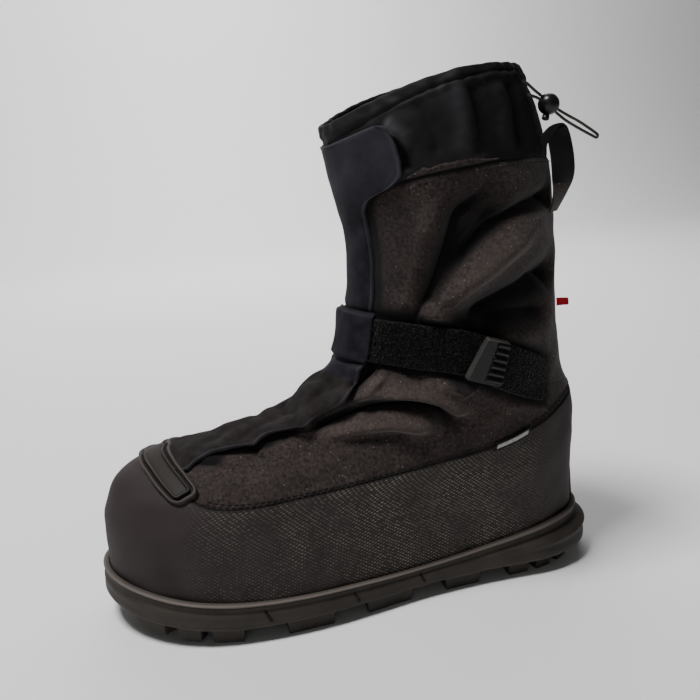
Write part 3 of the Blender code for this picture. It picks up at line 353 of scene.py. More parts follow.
# Sections of the upper: level, front reach and height, back reach and height,
# half widths to the front and the back, share of the length that rounds the front and
# the back, sag of the sides below the straight line
UPPER_ROWS = [
    (0.00, 0.983 * TOE_REACH, 0.31 * TOE_HEIGHT, 0.955 * HEEL_REACH, 0.25 * INSTEP_HEIGHT,
     0.477 * BALL_WIDTH, 0.49 * HEEL_WIDTH, 0.25, 0.16, 0.090 * TOE_HEIGHT),
    (0.08, 0.990 * TOE_REACH, 0.49 * TOE_HEIGHT, 0.962 * HEEL_REACH, 0.39 * INSTEP_HEIGHT,
     0.485 * BALL_WIDTH, 0.50 * HEEL_WIDTH, 0.25, 0.17, 0.090 * TOE_HEIGHT),
    (0.16, 0.976 * TOE_REACH, 0.67 * TOE_HEIGHT, 0.967 * HEEL_REACH, 0.53 * INSTEP_HEIGHT,
     0.480 * BALL_WIDTH, 0.51 * HEEL_WIDTH, 0.26, 0.18, 0.100 * TOE_HEIGHT),
    (0.24, 0.938 * TOE_REACH, 0.84 * TOE_HEIGHT, 0.967 * HEEL_REACH, 0.66 * INSTEP_HEIGHT,
     0.450 * BALL_WIDTH, 0.52 * HEEL_WIDTH, 0.28, 0.19, 0.127 * TOE_HEIGHT),
    (0.30, 0.870 * TOE_REACH, 0.93 * TOE_HEIGHT, 0.955 * HEEL_REACH, 0.75 * INSTEP_HEIGHT,
     0.402 * BALL_WIDTH, 0.53 * HEEL_WIDTH, 0.31, 0.21, 0.155 * TOE_HEIGHT),
    (0.36, 0.788 * TOE_REACH, 0.98 * TOE_HEIGHT, 0.935 * HEEL_REACH, 0.82 * INSTEP_HEIGHT,
     0.362 * BALL_WIDTH, 0.54 * HEEL_WIDTH, 0.35, 0.25, 0.164 * TOE_HEIGHT),
    (0.44, 0.653 * TOE_REACH, 0.74 * INSTEP_HEIGHT, 1.090 * SHAFT_BACK, 0.88 * INSTEP_HEIGHT,
     0.331 * BALL_WIDTH, 0.439 * SHAFT_WIDTH, 0.41, 0.30, 0.155 * TOE_HEIGHT),
    (0.50, 0.537 * TOE_REACH, 0.79 * INSTEP_HEIGHT, 1.060 * SHAFT_BACK, 0.94 * INSTEP_HEIGHT,
     0.315 * BALL_WIDTH, 0.447 * SHAFT_WIDTH, 0.44, 0.36, 0.127 * TOE_HEIGHT),
    (0.56, 0.422 * TOE_REACH, 0.87 * INSTEP_HEIGHT, 1.042 * SHAFT_BACK, 1.00 * INSTEP_HEIGHT,
     0.377 * SHAFT_WIDTH, 0.465 * SHAFT_WIDTH, 0.46, 0.42, 0.090 * TOE_HEIGHT),
    (0.62, 1.085 * SHAFT_FRONT, 1.00 * INSTEP_HEIGHT, 1.022 * SHAFT_BACK, 1.07 * INSTEP_HEIGHT,
     0.412 * SHAFT_WIDTH, 0.474 * SHAFT_WIDTH, 0.48, 0.46, 0.045 * TOE_HEIGHT),
    (0.70, 0.950 * SHAFT_FRONT, 0.669 * SHAFT_HEIGHT, 1.000 * SHAFT_BACK, 0.665 * SHAFT_HEIGHT,
     0.465 * SHAFT_WIDTH, 0.491 * SHAFT_WIDTH, 0.50, 0.50, 0.000 * TOE_HEIGHT),
    (0.80, 0.893 * SHAFT_FRONT, 0.810 * SHAFT_HEIGHT, 0.972 * SHAFT_BACK, 0.813 * SHAFT_HEIGHT,
     0.491 * SHAFT_WIDTH, 0.509 * SHAFT_WIDTH, 0.50, 0.50, -0.027 * TOE_HEIGHT),
    (0.90, 0.986 * SHAFT_FRONT, 0.937 * SHAFT_HEIGHT, 0.908 * SHAFT_BACK, 1.000 * SHAFT_HEIGHT,
     0.491 * SHAFT_WIDTH, 0.509 * SHAFT_WIDTH, 0.50, 0.50, -0.055 * TOE_HEIGHT),
    (0.97, 1.069 * SHAFT_FRONT, SHAFT_HEIGHT + 0.21 * COLLAR_RISE,
     0.750 * SHAFT_BACK, SHAFT_HEIGHT + 0.73 * COLLAR_RISE,
     0.474 * SHAFT_WIDTH, 0.474 * SHAFT_WIDTH, 0.50, 0.50, -0.082 * TOE_HEIGHT),
    (1.00, 1.090 * SHAFT_FRONT, SHAFT_HEIGHT + 0.42 * COLLAR_RISE,
     0.658 * SHAFT_BACK, SHAFT_HEIGHT + 1.00 * COLLAR_RISE,
     0.430 * SHAFT_WIDTH, 0.420 * SHAFT_WIDTH, 0.50, 0.50, -0.090 * TOE_HEIGHT),
]

# Share of the toe's swing that a section takes, by level
SWING_ROWS = [(0.00, 1.0), (0.24, 1.0), (0.36, 0.7), (0.50, 0.3), (0.62, 0.0), (1.00, 0.0)]

# Seam between the lower and the upper panel: turn, level
SEAM_ROWS = [
    (0.000, 0.330), (0.060, 0.305), (0.110, 0.262), (0.140, 0.236), (0.170, 0.235),
    (0.200, 0.250), (0.250, 0.273), (0.290, 0.286), (0.330, 0.291), (0.360, 0.306),
    (0.400, 0.328), (0.450, 0.338), (0.500, 0.340),
]

# Toe band: turn, level of its front edge, level of its rear edge
BAND_ROWS = [
    (0.000, 0.298, 0.364), (0.060, 0.280, 0.340), (0.090, 0.256, 0.316), (0.122, 0.222, 0.276),
]
BAND_END = 0.114
BAND_END_LEAN = 0.010

# Middle of the strap around the boot: turn without its sign, height
STRAP_ROWS = [
    (0.000, 1.130 * INSTEP_HEIGHT), (0.060, 1.128 * INSTEP_HEIGHT),
    (0.120, 1.118 * INSTEP_HEIGHT), (0.170, 1.098 * INSTEP_HEIGHT),
    (0.230, 1.066 * INSTEP_HEIGHT), (0.300, 0.982 * INSTEP_HEIGHT),
    (0.370, 0.900 * INSTEP_HEIGHT), (0.420, 0.860 * INSTEP_HEIGHT),
]
# Turns at which the strap ends, and those between which it climbs the flap and comes down
STRAP_ENDS = (-0.385, 0.262)
STRAP_OVER_FLAP = (-0.115, -0.085, 0.108, 0.150)
ANCHOR_ENDS = (0.288, 0.378)
KEEPER_ENDS = (-0.020, 0.094)
LABEL_ENDS = (0.333, 0.366)
BUCKLE_PLACE = 0.265
BUCKLE_TURN = 6.0
TAB_PLACE = (0.440, 0.686)

# Drawcord: out of the casing, through the lock, around the loop of its tail and back
CORD_POINTS = [
    (0.0408, -0.0356, 0.3255), (0.0440, -0.0360, 0.3232), (0.0490, -0.0361, 0.3190),
    (0.0528, -0.0362, 0.3161), (0.0583, -0.0366, 0.3118), (0.0638, -0.0370, 0.3075),
    (0.0690, -0.0384, 0.3040), (0.0770, -0.0400, 0.2992), (0.0860, -0.0412, 0.2930),
    (0.0884, -0.0414, 0.2908), (0.0876, -0.0415, 0.2894), (0.0852, -0.0414, 0.2904),
    (0.0760, -0.0402, 0.2956), (0.0680, -0.0386, 0.3008), (0.0624, -0.0370, 0.3057),
    (0.0569, -0.0366, 0.3100), (0.0514, -0.0362, 0.3143), (0.0470, -0.0366, 0.3160),
    (0.0436, -0.0372, 0.3168),
]
LOCK_PLACE = (0.0576, -0.0366, 0.3109)
LOCK_AXIS = (0.786, -0.057, -0.615)

# Pull loop: turn and level of the tape's middle, its lift off the boot, direction across it
LOOP_ROWS = [
    (0.386, 0.900, 0.0014, (-0.24, -0.02, 0.97)),
    (0.390, 0.908, 0.0042, (0.10, -0.10, 0.97)),
    (0.395, 0.914, 0.0070, (0.60, -0.20, 0.75)),
    (0.399, 0.917, 0.0088, (0.95, -0.15, 0.26)),
    (0.401, 0.908, 0.0100, (1.00, 0.00, 0.04)),
    (0.401, 0.892, 0.0100, (1.00, 0.00, 0.00)),
    (0.402, 0.876, 0.0094, (1.00, 0.02, 0.02)),
    (0.402, 0.864, 0.0084, (0.98, 0.16, 0.00)),
    (0.402, 0.852, 0.0066, (0.88, 0.45, 0.00)),
    (0.402, 0.839, 0.0038, (0.76, 0.64, 0.00)),
    (0.402, 0.828, 0.0010, (0.69, 0.72, 0.00)),
]

# %% Read a table and find a place on the boot
def smoothstep(value):
    value = np.clip(value, 0.0, 1.0)
    return value * value * (3.0 - 2.0 * value)


def read_rows(rows, where, column=1):
    """Read one column of a table along a smooth curve through its rows"""
    table = np.array(rows, dtype=float)
    at = table[:, 0]
    values = table[:, column]
    slopes = np.gradient(values, at)
    where = np.clip(np.asarray(where, dtype=float), at[0], at[-1])
    i = np.clip(np.searchsorted(at, where, side="right") - 1, 0, len(at) - 2)
    width = at[i + 1] - at[i]
    t = (where - at[i]) / width
    start = values[i] * (2 * t**3 - 3 * t**2 + 1) + slopes[i] * width * (t**3 - 2 * t**2 + t)
    end = values[i + 1] * (3 * t**2 - 2 * t**3) + slopes[i + 1] * width * (t**3 - t**2)
    return start + end


def rounding(along, front, back):
    """Share of the half width left at a place along a ring whose ends are quarter ellipses"""
    toe = np.sqrt(np.clip(1.0 - np.clip((front - along) / front, 0.0, 1.0) ** 2, 0.0, 1.0))
    heel = np.sqrt(np.clip(1.0 - np.clip((along - 1.0 + back) / back, 0.0, 1.0) ** 2, 0.0, 1.0))
    return toe * heel


def along_and_side(turn):
    """Share of the length from the toe, and -1 on the outer or 1 on the inner side"""
    angle = 2.0 * math.pi * np.asarray(turn, dtype=float)
    return (1.0 - np.cos(angle)) / 2.0, np.where(np.sin(angle) > 0.0, -1.0, 1.0)


def toe_swing(along):
    return TOE_SWING * np.clip(1.0 - along / 0.45, 0.0, 1.0) ** 2


def outline(turn, inset=0.0):
    """Plan of the outsole's rim, drawn in by an inset"""
    along, side = along_and_side(turn)
    outer = read_rows(OUTLINE_ROWS, along, 1)
    inner = read_rows(OUTLINE_ROWS, along, 2)
    half = np.where(side < 0.0, outer, inner) - inset
    x = -TOE_REACH + inset + (SOLE_LENGTH - 2.0 * inset) * along
    y = toe_swing(along) + side * half * rounding(along, TOE_ROUND, HEEL_ROUND)
    return x, y


def along_at(x):
    return np.clip((np.asarray(x) + TOE_REACH) / SOLE_LENGTH, 0.0, 1.0)


def rim_height(along):
    return read_rows(SIDE_ROWS, along, 1)


def tread_lift(along):
    return np.maximum(read_rows(SIDE_ROWS, along, 2), 0.0)


def seat_height(x):
    return rim_height(along_at(x)) - SEAT_DEPTH


def seam_level(turn):
    turn = np.abs((np.asarray(turn, dtype=float) + 0.5) % 1.0 - 0.5)
    return read_rows(SEAM_ROWS, turn)


SEAT_INSET = RIM_WIDTH + FIT + PANEL_STEP
SEAT_HOLD = 0.03
SEAT_FADE = 0.17


def together(turn, level):
    """Turns and levels as arrays of one shape"""
    return np.broadcast_arrays(np.asarray(turn, dtype=float), np.asarray(level, dtype=float))


def surface(turn, level):
    """Point on the upper's outer face, without its steps"""
    turn, level = together(turn, level)
    size = [read_rows(UPPER_ROWS, level, column) for column in range(10)]
    along, side = along_and_side(turn)
    front, front_height, back, back_height = -size[1], size[2], size[3], size[4]
    half = size[5] + (size[6] - size[5]) * smoothstep(along)
    sag = size[9] * 4.0 * along * (1.0 - along)
    x = front + (back - front) * along
    y = side * half * rounding(along, size[7], size[8])
    y = y + toe_swing(along) * read_rows(SWING_ROWS, level)
    z = front_height + (back_height - front_height) * along - sag
    seat_x, seat_y = outline(turn, SEAT_INSET)
    seat_z = seat_height(seat_x) + FIT
    first = np.array(UPPER_ROWS[0])
    first_z = first[2] + (first[4] - first[2]) * along - first[9] * 4.0 * along * (1.0 - along)
    hold = 1.0 - smoothstep((level - SEAT_HOLD) / SEAT_FADE)
    x = x + (seat_x - x) * hold
    y = y + (seat_y - y) * hold
    z = z + (seat_z - first_z) * (1.0 - smoothstep(level / (SEAT_HOLD + SEAT_FADE)))
    return np.stack([x, y, z], axis=-1)


def beside(level):
    """Levels just below and just above, still on the boot"""
    level = np.asarray(level, dtype=float)
    return np.clip(level - STEP, 0.0, 1.0), np.clip(level + STEP, 0.0, 1.0)


def normal(turn, level):
    """Direction out of the upper's face"""
    low, high = beside(level)
    across = surface(np.asarray(turn) + STEP, level) - surface(np.asarray(turn) - STEP, level)
    upward = surface(turn, high) - surface(turn, low)
    out = np.cross(across, upward)
    return out / np.linalg.norm(out, axis=-1, keepdims=True)


def lifted(turn, level, lift):
    """Point at a height over the upper's face"""
    return surface(turn, level) + normal(turn, level) * np.asarray(lift)[..., None]


def climb(turn, level):
    """Metres up the face for one whole level"""
    low, high = beside(level)
    rise = surface(turn, high) - surface(turn, low)
    return np.linalg.norm(rise, axis=-1) / (high - low)


middle_of_collar = surface(np.array([0.0, 0.5]), 1.0)
print("collar rim, front to back: %.0f mm" % (1000 * np.ptp(middle_of_collar[:, 0])))

# %% [markdown]
# ## Folds
# A worn boot's cloth keeps its folds: the shaft has slumped over the ankle, the strap pinches
# the instep, and the vamp has buckled under it. They could come from a cloth simulation, but the
# real ones have their own places, so each is drawn as a line on the boot. A point of the cloth
# moves out or in by how near it is to each line. A positive height is a ridge with a round back, a
# negative one a trough with a sharper bottom.

# %% Fold lines on the outer side
# Each fold: name, height, width, fade at its start and at its end as shares of its length,
# and the turns and levels it passes through
OUTER_FOLDS = [
    ("shaft trough", -0.0085, 0.0055, 0.00, 0.25, [
        (0.148, 0.664), (0.16, 0.702), (0.174, 0.738), (0.186, 0.774), (0.198, 0.804),
        (0.214, 0.837), (0.235, 0.85), (0.257, 0.86), (0.28, 0.868)]),
    ("shaft valley", -0.0075, 0.0120, 0.10, 0.30, [
        (0.176, 0.70), (0.198, 0.745), (0.216, 0.786), (0.24, 0.815), (0.27, 0.838),
        (0.31, 0.85)]),
    ("back trough", -0.0100, 0.0052, 0.25, 0.10, [
        (0.206, 0.752), (0.222, 0.776), (0.238, 0.797), (0.26, 0.814), (0.284, 0.825),
        (0.312, 0.835), (0.345, 0.841), (0.376, 0.846), (0.41, 0.848)]),
    ("shaft ridge", 0.0088, 0.0105, 0.24, 0.45, [
        (0.152, 0.645), (0.17, 0.684), (0.198, 0.722), (0.238, 0.76), (0.284, 0.792),
        (0.33, 0.812), (0.366, 0.82), (0.40, 0.824)]),
    ("thin crease on the ridge", -0.0012, 0.0014, 0.05, 0.40, [
        (0.16, 0.66), (0.178, 0.69), (0.20, 0.714), (0.222, 0.736)]),
    ("ankle hollow", -0.0140, 0.0094, 0.05, 0.12, [
        (0.222, 0.672), (0.248, 0.698), (0.284, 0.714), (0.325, 0.728), (0.372, 0.742),
        (0.42, 0.744)]),
    ("ankle hollow floor", -0.0095, 0.0085, 0.15, 0.30, [
        (0.24, 0.664), (0.264, 0.682), (0.294, 0.69), (0.33, 0.69), (0.366, 0.688),
        (0.396, 0.69)]),
    ("swell over the anchor", 0.0034, 0.0075, 0.30, 0.30, [
        (0.262, 0.646), (0.294, 0.648), (0.33, 0.641), (0.36, 0.63)]),
    ("crest beside the flap", 0.0030, 0.0080, 0.20, 0.20, [
        (0.19, 0.868), (0.177, 0.83), (0.164, 0.793), (0.157, 0.757), (0.15, 0.718),
        (0.146, 0.69)]),
    ("arc trough", -0.0125, 0.0046, 0.16, 0.20, [
        (0.112, 0.498), (0.119, 0.53), (0.13, 0.553), (0.148, 0.564), (0.176, 0.566),
        (0.203, 0.56), (0.234, 0.541), (0.264, 0.502), (0.286, 0.458)]),
    ("pillow over the arc", 0.0080, 0.0075, 0.10, 0.16, [
        (0.096, 0.492), (0.092, 0.528), (0.096, 0.56), (0.114, 0.583), (0.14, 0.59),
        (0.17, 0.59), (0.204, 0.582), (0.236, 0.561), (0.268, 0.52), (0.29, 0.466)]),
    ("swell under the arc", 0.0080, 0.0085, 0.20, 0.25, [
        (0.124, 0.486), (0.138, 0.515), (0.165, 0.534), (0.20, 0.532), (0.236, 0.508),
        (0.27, 0.464)]),
    ("dent in the vamp", -0.0020, 0.0045, 0.30, 0.30, [
        (0.165, 0.47), (0.183, 0.479), (0.205, 0.484), (0.222, 0.484), (0.24, 0.468)]),
    ("peak under the strap", 0.0075, 0.0040, 0.00, 0.40, [
        (0.126, 0.64), (0.122, 0.618), (0.116, 0.60), (0.108, 0.582)]),
    ("pinch before the peak", -0.0065, 0.0034, 0.00, 0.35, [
        (0.112, 0.64), (0.108, 0.615), (0.10, 0.592), (0.094, 0.57)]),
    ("pinch behind the peak", -0.0050, 0.0050, 0.00, 0.30, [
        (0.15, 0.634), (0.16, 0.618), (0.178, 0.608), (0.20, 0.606)]),
    ("lift before the buckle", 0.0044, 0.0055, 0.15, 0.30, [
        (0.206, 0.612), (0.226, 0.602), (0.246, 0.586), (0.266, 0.556)]),
    ("pucker at the toe band", -0.0014, 0.0030, 0.00, 0.50, [
        (0.08, 0.362), (0.10, 0.366), (0.122, 0.362)]),
    ("pucker in mid vamp", -0.0022, 0.0034, 0.00, 0.60, [
        (0.094, 0.436), (0.112, 0.42), (0.134, 0.408)]),
    ("heel fold", -0.0020, 0.0045, 0.30, 0.30, [
        (0.33, 0.52), (0.352, 0.548), (0.38, 0.56), (0.41, 0.556)]),
    ("heel crest", 0.0016, 0.0070, 0.30, 0.30, [
        (0.30, 0.45), (0.326, 0.476), (0.356, 0.492), (0.39, 0.50)]),
]

# %% Fold lines on the front and on the inner side
FRONT_FOLDS = [
    ("front swell over the instep", 0.0086, 0.0120, 0.15, 0.15, [
        (-0.04, 0.575), (-0.016, 0.577), (0.016, 0.577), (0.06, 0.575)]),
    ("front notch", -0.0048, 0.0065, 0.20, 0.20, [
        (-0.05, 0.52), (-0.016, 0.522), (0.016, 0.522), (0.08, 0.53)]),
    ("second front swell", 0.0044, 0.0100, 0.20, 0.20, [
        (-0.04, 0.462), (-0.014, 0.464), (0.014, 0.464), (0.06, 0.46)]),
    ("ankle crease in front", -0.0012, 0.0050, 0.20, 0.20, [
        (-0.05, 0.70), (-0.014, 0.702), (0.014, 0.702), (0.06, 0.704)]),
]
INNER_FOLDS = [
    ("inner shaft trough", -0.0050, 0.0060, 0.10, 0.25, [
        (0.845, 0.69), (0.825, 0.738), (0.806, 0.782), (0.778, 0.822), (0.742, 0.846),
        (0.705, 0.858)]),
    ("inner shaft ridge", 0.0066, 0.0125, 0.10, 0.25, [
        (0.822, 0.682), (0.80, 0.714), (0.768, 0.752), (0.728, 0.786), (0.68, 0.808),
        (0.64, 0.815)]),
    ("inner ankle hollow", -0.0066, 0.0090, 0.10, 0.25, [
        (0.79, 0.672), (0.766, 0.70), (0.738, 0.715), (0.704, 0.718), (0.668, 0.706)]),
    ("inner arc trough", -0.0070, 0.0050, 0.20, 0.20, [
        (0.886, 0.505), (0.874, 0.54), (0.856, 0.56), (0.826, 0.566), (0.792, 0.556),
        (0.762, 0.528), (0.74, 0.488)]),
    ("inner pillow", 0.0054, 0.0080, 0.15, 0.20, [
        (0.90, 0.52), (0.892, 0.56), (0.868, 0.586), (0.832, 0.592), (0.796, 0.584),
        (0.764, 0.562), (0.736, 0.52)]),
    ("inner swell", 0.0040, 0.0090, 0.20, 0.25, [
        (0.872, 0.49), (0.856, 0.52), (0.826, 0.532), (0.79, 0.522), (0.756, 0.49)]),
    ("inner vamp pucker", -0.0020, 0.0040, 0.00, 0.60, [
        (0.92, 0.44), (0.896, 0.424), (0.87, 0.412)]),
    ("inner heel fold", -0.0018, 0.0050, 0.30, 0.30, [
        (0.67, 0.52), (0.644, 0.548), (0.616, 0.56), (0.588, 0.556)]),
    ("back fold", -0.0014, 0.0060, 0.30, 0.30, [
        (0.42, 0.64), (0.46, 0.652), (0.50, 0.655), (0.545, 0.648), (0.59, 0.63)]),
]
FOLDS = OUTER_FOLDS + FRONT_FOLDS + INNER_FOLDS
print("folds placed:", len(FOLDS))

# %% Distance to a fold and the height it gives
PATH_STEPS = 5
# A fold is felt as far as this many of its widths
FOLD_REACH = 3.2


def smooth_path(points, steps):
    """Catmull-Rom curve through the points"""
    points = np.array(points, dtype=float)
    ends = np.concatenate([[2 * points[0] - points[1]], points, [2 * points[-1] - points[-2]]])
    path = []
    for i in range(1, len(ends) - 2):
        a, b, c, d = ends[i - 1:i + 3]
        for t in np.arange(steps) / steps:
            path.append(0.5 * (2 * b + (c - a) * t + (2 * a - 5 * b + 4 * c - d) * t**2
                               + (3 * b - a - 3 * c + d) * t**3))
    path.append(points[-1])
    return np.array(path)


def distance_to(path, points):
    """Distance from each point to a path, and the share of the path where it is nearest"""
    nearest = np.full(len(points), np.inf)
    share = np.zeros(len(points))
    lengths = np.linalg.norm(np.diff(path, axis=0), axis=1)
    walked = 0.0
    for start, end, length in zip(path[:-1], path[1:], lengths):
        t = np.clip((points - start) @ (end - start) / length**2, 0.0, 1.0)
        gap = np.linalg.norm(points - start - t[:, None] * (end - start), axis=1)
        closer = gap < nearest
        nearest = np.where(closer, gap, nearest)
        share = np.where(closer, (walked + t * length) / lengths.sum(), share)
        walked += length
    return nearest, share


def fold_profile(gap, height):
    """Round back for a ridge, sharper bottom for a trough"""
    return np.exp(-gap**2) if height > 0.0 else np.exp(-1.2 * gap**1.35)


def fold_lines(folds):
    """Each fold's sizes and its line on the boot"""
    return [(*fold[1:5], surface(*smooth_path(fold[5], PATH_STEPS).T)) for fold in folds]


def fold_heights(points, lines):
    """How far the cloth stands off its smooth form at each point"""
    total = np.zeros(len(points))
    for height, width, fade_in, fade_out, line in lines:
        reach = FOLD_REACH * width
        near = np.all((points > line.min(axis=0) - reach)
                      & (points < line.max(axis=0) + reach), axis=1)
        gap, share = distance_to(line, points[near])
        ends = smoothstep((share + 1e-6) / (fade_in + 1e-6)) * smoothstep((1.0 - share) / fade_out)
        total[near] += height * fold_profile(gap / width, height) * ends
    return total


def ripple(points, size, seed, waves=14):
    """Smooth random waves of about one size, from -1 to 1"""
    random = np.random.default_rng(seed)
    directions = random.normal(size=(waves, 3))
    directions /= np.linalg.norm(directions, axis=1, keepdims=True)
    directions *= 2.0 * math.pi / (size * random.uniform(0.7, 1.6, (waves, 1)))
    phases = random.uniform(0.0, 2.0 * math.pi, waves)
    return np.sin(points @ directions.T + phases).sum(axis=1) / math.sqrt(waves)


# %% Cloth over the boot
FOLD_LINES = fold_lines(FOLDS)
SLACK_RIPPLE = 0.00035
SLACK_SIZE = 0.022


def relief(turn, level):
    """Folds and slack of the cloth at each place"""
    turn, level = together(turn, level)
    points = surface(turn, level).reshape(-1, 3)
    heights = fold_heights(points, FOLD_LINES) + SLACK_RIPPLE * ripple(points, SLACK_SIZE, 3)
    return heights.reshape(turn.shape)


print("deepest fold: %.1f mm" % (1000 * relief(np.linspace(0.1, 0.4, 60)[:, None],
                                               np.linspace(0.4, 0.9, 60)[None, :]).min()))

# %% [markdown]
# ## Making cloth and rubber meshes
# Every piece of cloth is a grid of points: rows go up the boot and columns go along it. A grid
# keeps its own coordinates in metres, as a bolt of cloth would, so a weave keeps its real
# thread spacing on it. Thin pieces roll over at their edges, which catches the light as a
# folded or bound edge does.

# %% Grids
def cloth_lengths(points):
    """Lengths along and up a grid of points, in metres"""
    along = np.zeros(points.shape[:2])
    upward = np.zeros(points.shape[:2])
    along[:, 1:] = np.cumsum(np.linalg.norm(np.diff(points, axis=1), axis=2), axis=1)
    upward[1:] = np.cumsum(np.linalg.norm(np.diff(points, axis=0), axis=2), axis=0)
    return np.stack([along, upward], axis=-1)


def wrapped(points):
    """Closed grid with its first column again at its end"""
    return np.concatenate([points, points[:, :1]], axis=1)


def grid_object(name, points, material, closed=False, lengths=None, shade=None):
    """Object with one face for each cell of a grid of points; shade is a painted shade and
    highlight, -1 for dark to 1 for pale
    """
    rows, columns = points.shape[:2]
    if lengths is None:
        lengths = cloth_lengths(wrapped(points) if closed else points)
    i, j = np.meshgrid(np.arange(rows - 1), np.arange(columns if closed else columns - 1),
                       indexing="ij")

    def cells(wide, after):
        low, high = i * wide, (i + 1) * wide
        return np.stack([low + j, low + after, high + after, high + j], axis=-1).reshape(-1, 4)

    mesh = bpy.data.meshes.new(name)
    mesh.from_pydata(points.reshape(-1, 3), [], cells(columns, (j + 1) % columns).tolist())
    layer = mesh.uv_layers.new(name="cloth")
    laid = lengths.reshape(-1, 2)[cells(lengths.shape[1], j + 1)]
    layer.data.foreach_set("uv", laid.ravel())
    if shade is not None:
        values = mesh.attributes.new("shade", "FLOAT", "POINT")
        values.data.foreach_set("value", np.ravel(shade).astype(float))
    mesh.materials.append(material)
    mesh.shade_smooth()
    return add_to_scene(bpy.data.objects.new(name, mesh))


def dress(piece, slot, *nodes):
    """Let a piece ride on the boot and stand for its solids, which it hides; slot is not used"""
    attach(piece, "root")
    if nodes:
        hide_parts(*nodes)
    print("%s: %d faces" % (piece.name, len(piece.data.polygons)))
    return piece


def edge_gap(steps):
    """Distance of each point of a sheet from its two sides and its top edge"""
    return np.minimum(np.minimum(steps[..., 0], steps[:, -1:, 0] - steps[..., 0]),
                      steps[-1:, :, 1] - steps[..., 1])


def edge_roll(distance, radius):
    """Share of a sheet's thickness at a distance from its rolled edge"""
    inside = np.clip(distance / radius, 0.0, 1.0)
    return np.sqrt(1.0 - (1.0 - inside) ** 2)


def thick_grid(inner, outer):
    """Join the outer face of a sheet to its inner face around all four edges"""
    rim = np.concatenate([inner[:1], outer, inner[-1:]], axis=0)
    left = np.concatenate([inner[:1, :1], inner[:, :1], inner[-1:, :1]], axis=0)
    right = np.concatenate([inner[:1, -1:], inner[:, -1:], inner[-1:, -1:]], axis=0)
    return np.concatenate([left, rim, right], axis=1)


# %% [markdown]
# ## Heather nylon
# The shaft and the vamp are a brown heather oxford: dark warp, and weft yarns spun from darker
# and paler fibres, milled until it looks like felt. Noise at fibre size mixes the two browns, a
# sparse pattern of cells gives the pale flecks, and a large soft one gives the uneven dye. Cloth
# deep in a fold gets less light than cloth on a ridge, so each point of a mesh can carry a painted
# shade, from -1, a painted shadow in a hollow, to 1, a painted highlight on a ridge or an edge, and
# every cloth reads it.

# %% Heather oxford
HEATHER_DARK = "#1a1413"
HEATHER_PALE = "#463c39"
HEATHER_FLECK = "#857a74"
FIBRE = 2.1 * MM
DYE_CLOUD = 14.0 * MM
FLECK_SPACING = 5.0 * MM


def painted_shade_and_highlight(tree, colour, hollow, highlight_colour, amount=0.35):
    """Painted shade and highlight: darken a colour where the cloth folds in and make it paler on
    ridges and edges
    """
    # A colour mix has its share at input 0, its colours at 6 and 7 and its result at output 2
    # The shade attribute is painted light: painted shade in folds and hollows, painted highlight on
    # ridges
    shade = put(tree, "Attribute", attribute_name="shade").outputs["Fac"]
    inward = put(tree, "MapRange", {"Value": shade, "From Max": -1.0})
    outward = put(tree, "MapRange", {"Value": shade, "To Max": amount})
    darker = put(tree, "Mix", {0: inward, 6: colour, 7: ink(hollow)}, data_type="RGBA")
    paler = put(tree, "Mix", {0: outward, 6: darker.outputs[2], 7: ink(highlight_colour)}, data_type="RGBA")
    return paler.outputs[2]


def heather_oxford():
    """Felt-like melange cloth: no gloss, so folds show by their shade alone"""
    material, tree, shader, place = new_material("brown heather oxford", 0.92, 0.18)
    fibres = put(tree, "TexNoise", {
        "Vector": place, "Scale": per_metre(FIBRE), "Detail": 5.0, "Roughness": 0.72})
    cloudy = put(tree, "TexNoise", {"Vector": place, "Scale": per_metre(DYE_CLOUD), "Detail": 3.0})
    spread = put(tree, "MapRange", {"Value": fibres, "From Min": 0.36, "From Max": 0.66})
    drift = put(tree, "MapRange", {
        "Value": cloudy, "From Min": 0.3, "From Max": 0.7, "To Min": 0.55})
    amount = put(tree, "Math", {0: spread, 1: drift}, operation="MULTIPLY")
    ground = put(tree, "Mix", {0: amount, 6: ink(HEATHER_DARK), 7: ink(HEATHER_PALE)},
                 data_type="RGBA")
    cells = put(tree, "TexVoronoi", {"Vector": place, "Scale": per_metre(FLECK_SPACING)})
    fleck = put(tree, "MapRange", {
        "Value": cells, "From Min": 0.04, "From Max": 0.11, "To Min": 0.7, "To Max": 0.0})
    colour = put(tree, "Mix", {0: fleck, 6: ground.outputs[2], 7: ink(HEATHER_FLECK)},
                 data_type="RGBA")
    bump = put(tree, "Bump", {"Height": fibres, "Strength": 0.45, "Distance": 0.5 * MM})
    # Painted shade in the folds and hollows, painted highlight on the ridges
    feed(shader, {"Base Color": painted_shade_and_highlight(tree, colour.outputs[2], "#050404", "#6f625c", 0.20),
                  "Normal": bump, "Sheen Weight": 0.12, "Sheen Roughness": 0.5})
    return material


heather = heather_oxford()

# %% [markdown]
# ## Ballistic nylon
# The lower panel is a coarse basket weave of charcoal yarns, a few degrees off the boot's length.
# The floats of one yarn face the light and are painted pale grey-brown as painted light, those of
# the other are painted dark as painted shade.
# No two floats are quite alike, so each gets its own shade. Where the toe and the heel were
# handled, the yarns are matted and the check fades out to a smooth plum-brown.

# %% Basket weave
# Painted light: the floats facing the light are painted pale, the others dark
WARP_PAINTED_LIT = "#6e6a60"
WEFT_PAINTED_SHADED = "#282322"
MATTED = "#2f2828"
FLOAT_LENGTH = 1.9 * MM
FLOAT_WIDTH = 1.1 * MM
BIAS = math.radians(4.0)
# The floats wander by this much over this distance
WANDER = 1.5 * MM
WANDER_SIZE = 5.0 * MM
MATTED_PATCH = 38.0 * MM
# Along the boot: where the matted toe ends and where the matted heel starts
MATTED_TOE = (-0.205, -0.105)
MATTED_HEEL = (0.070, 0.010)


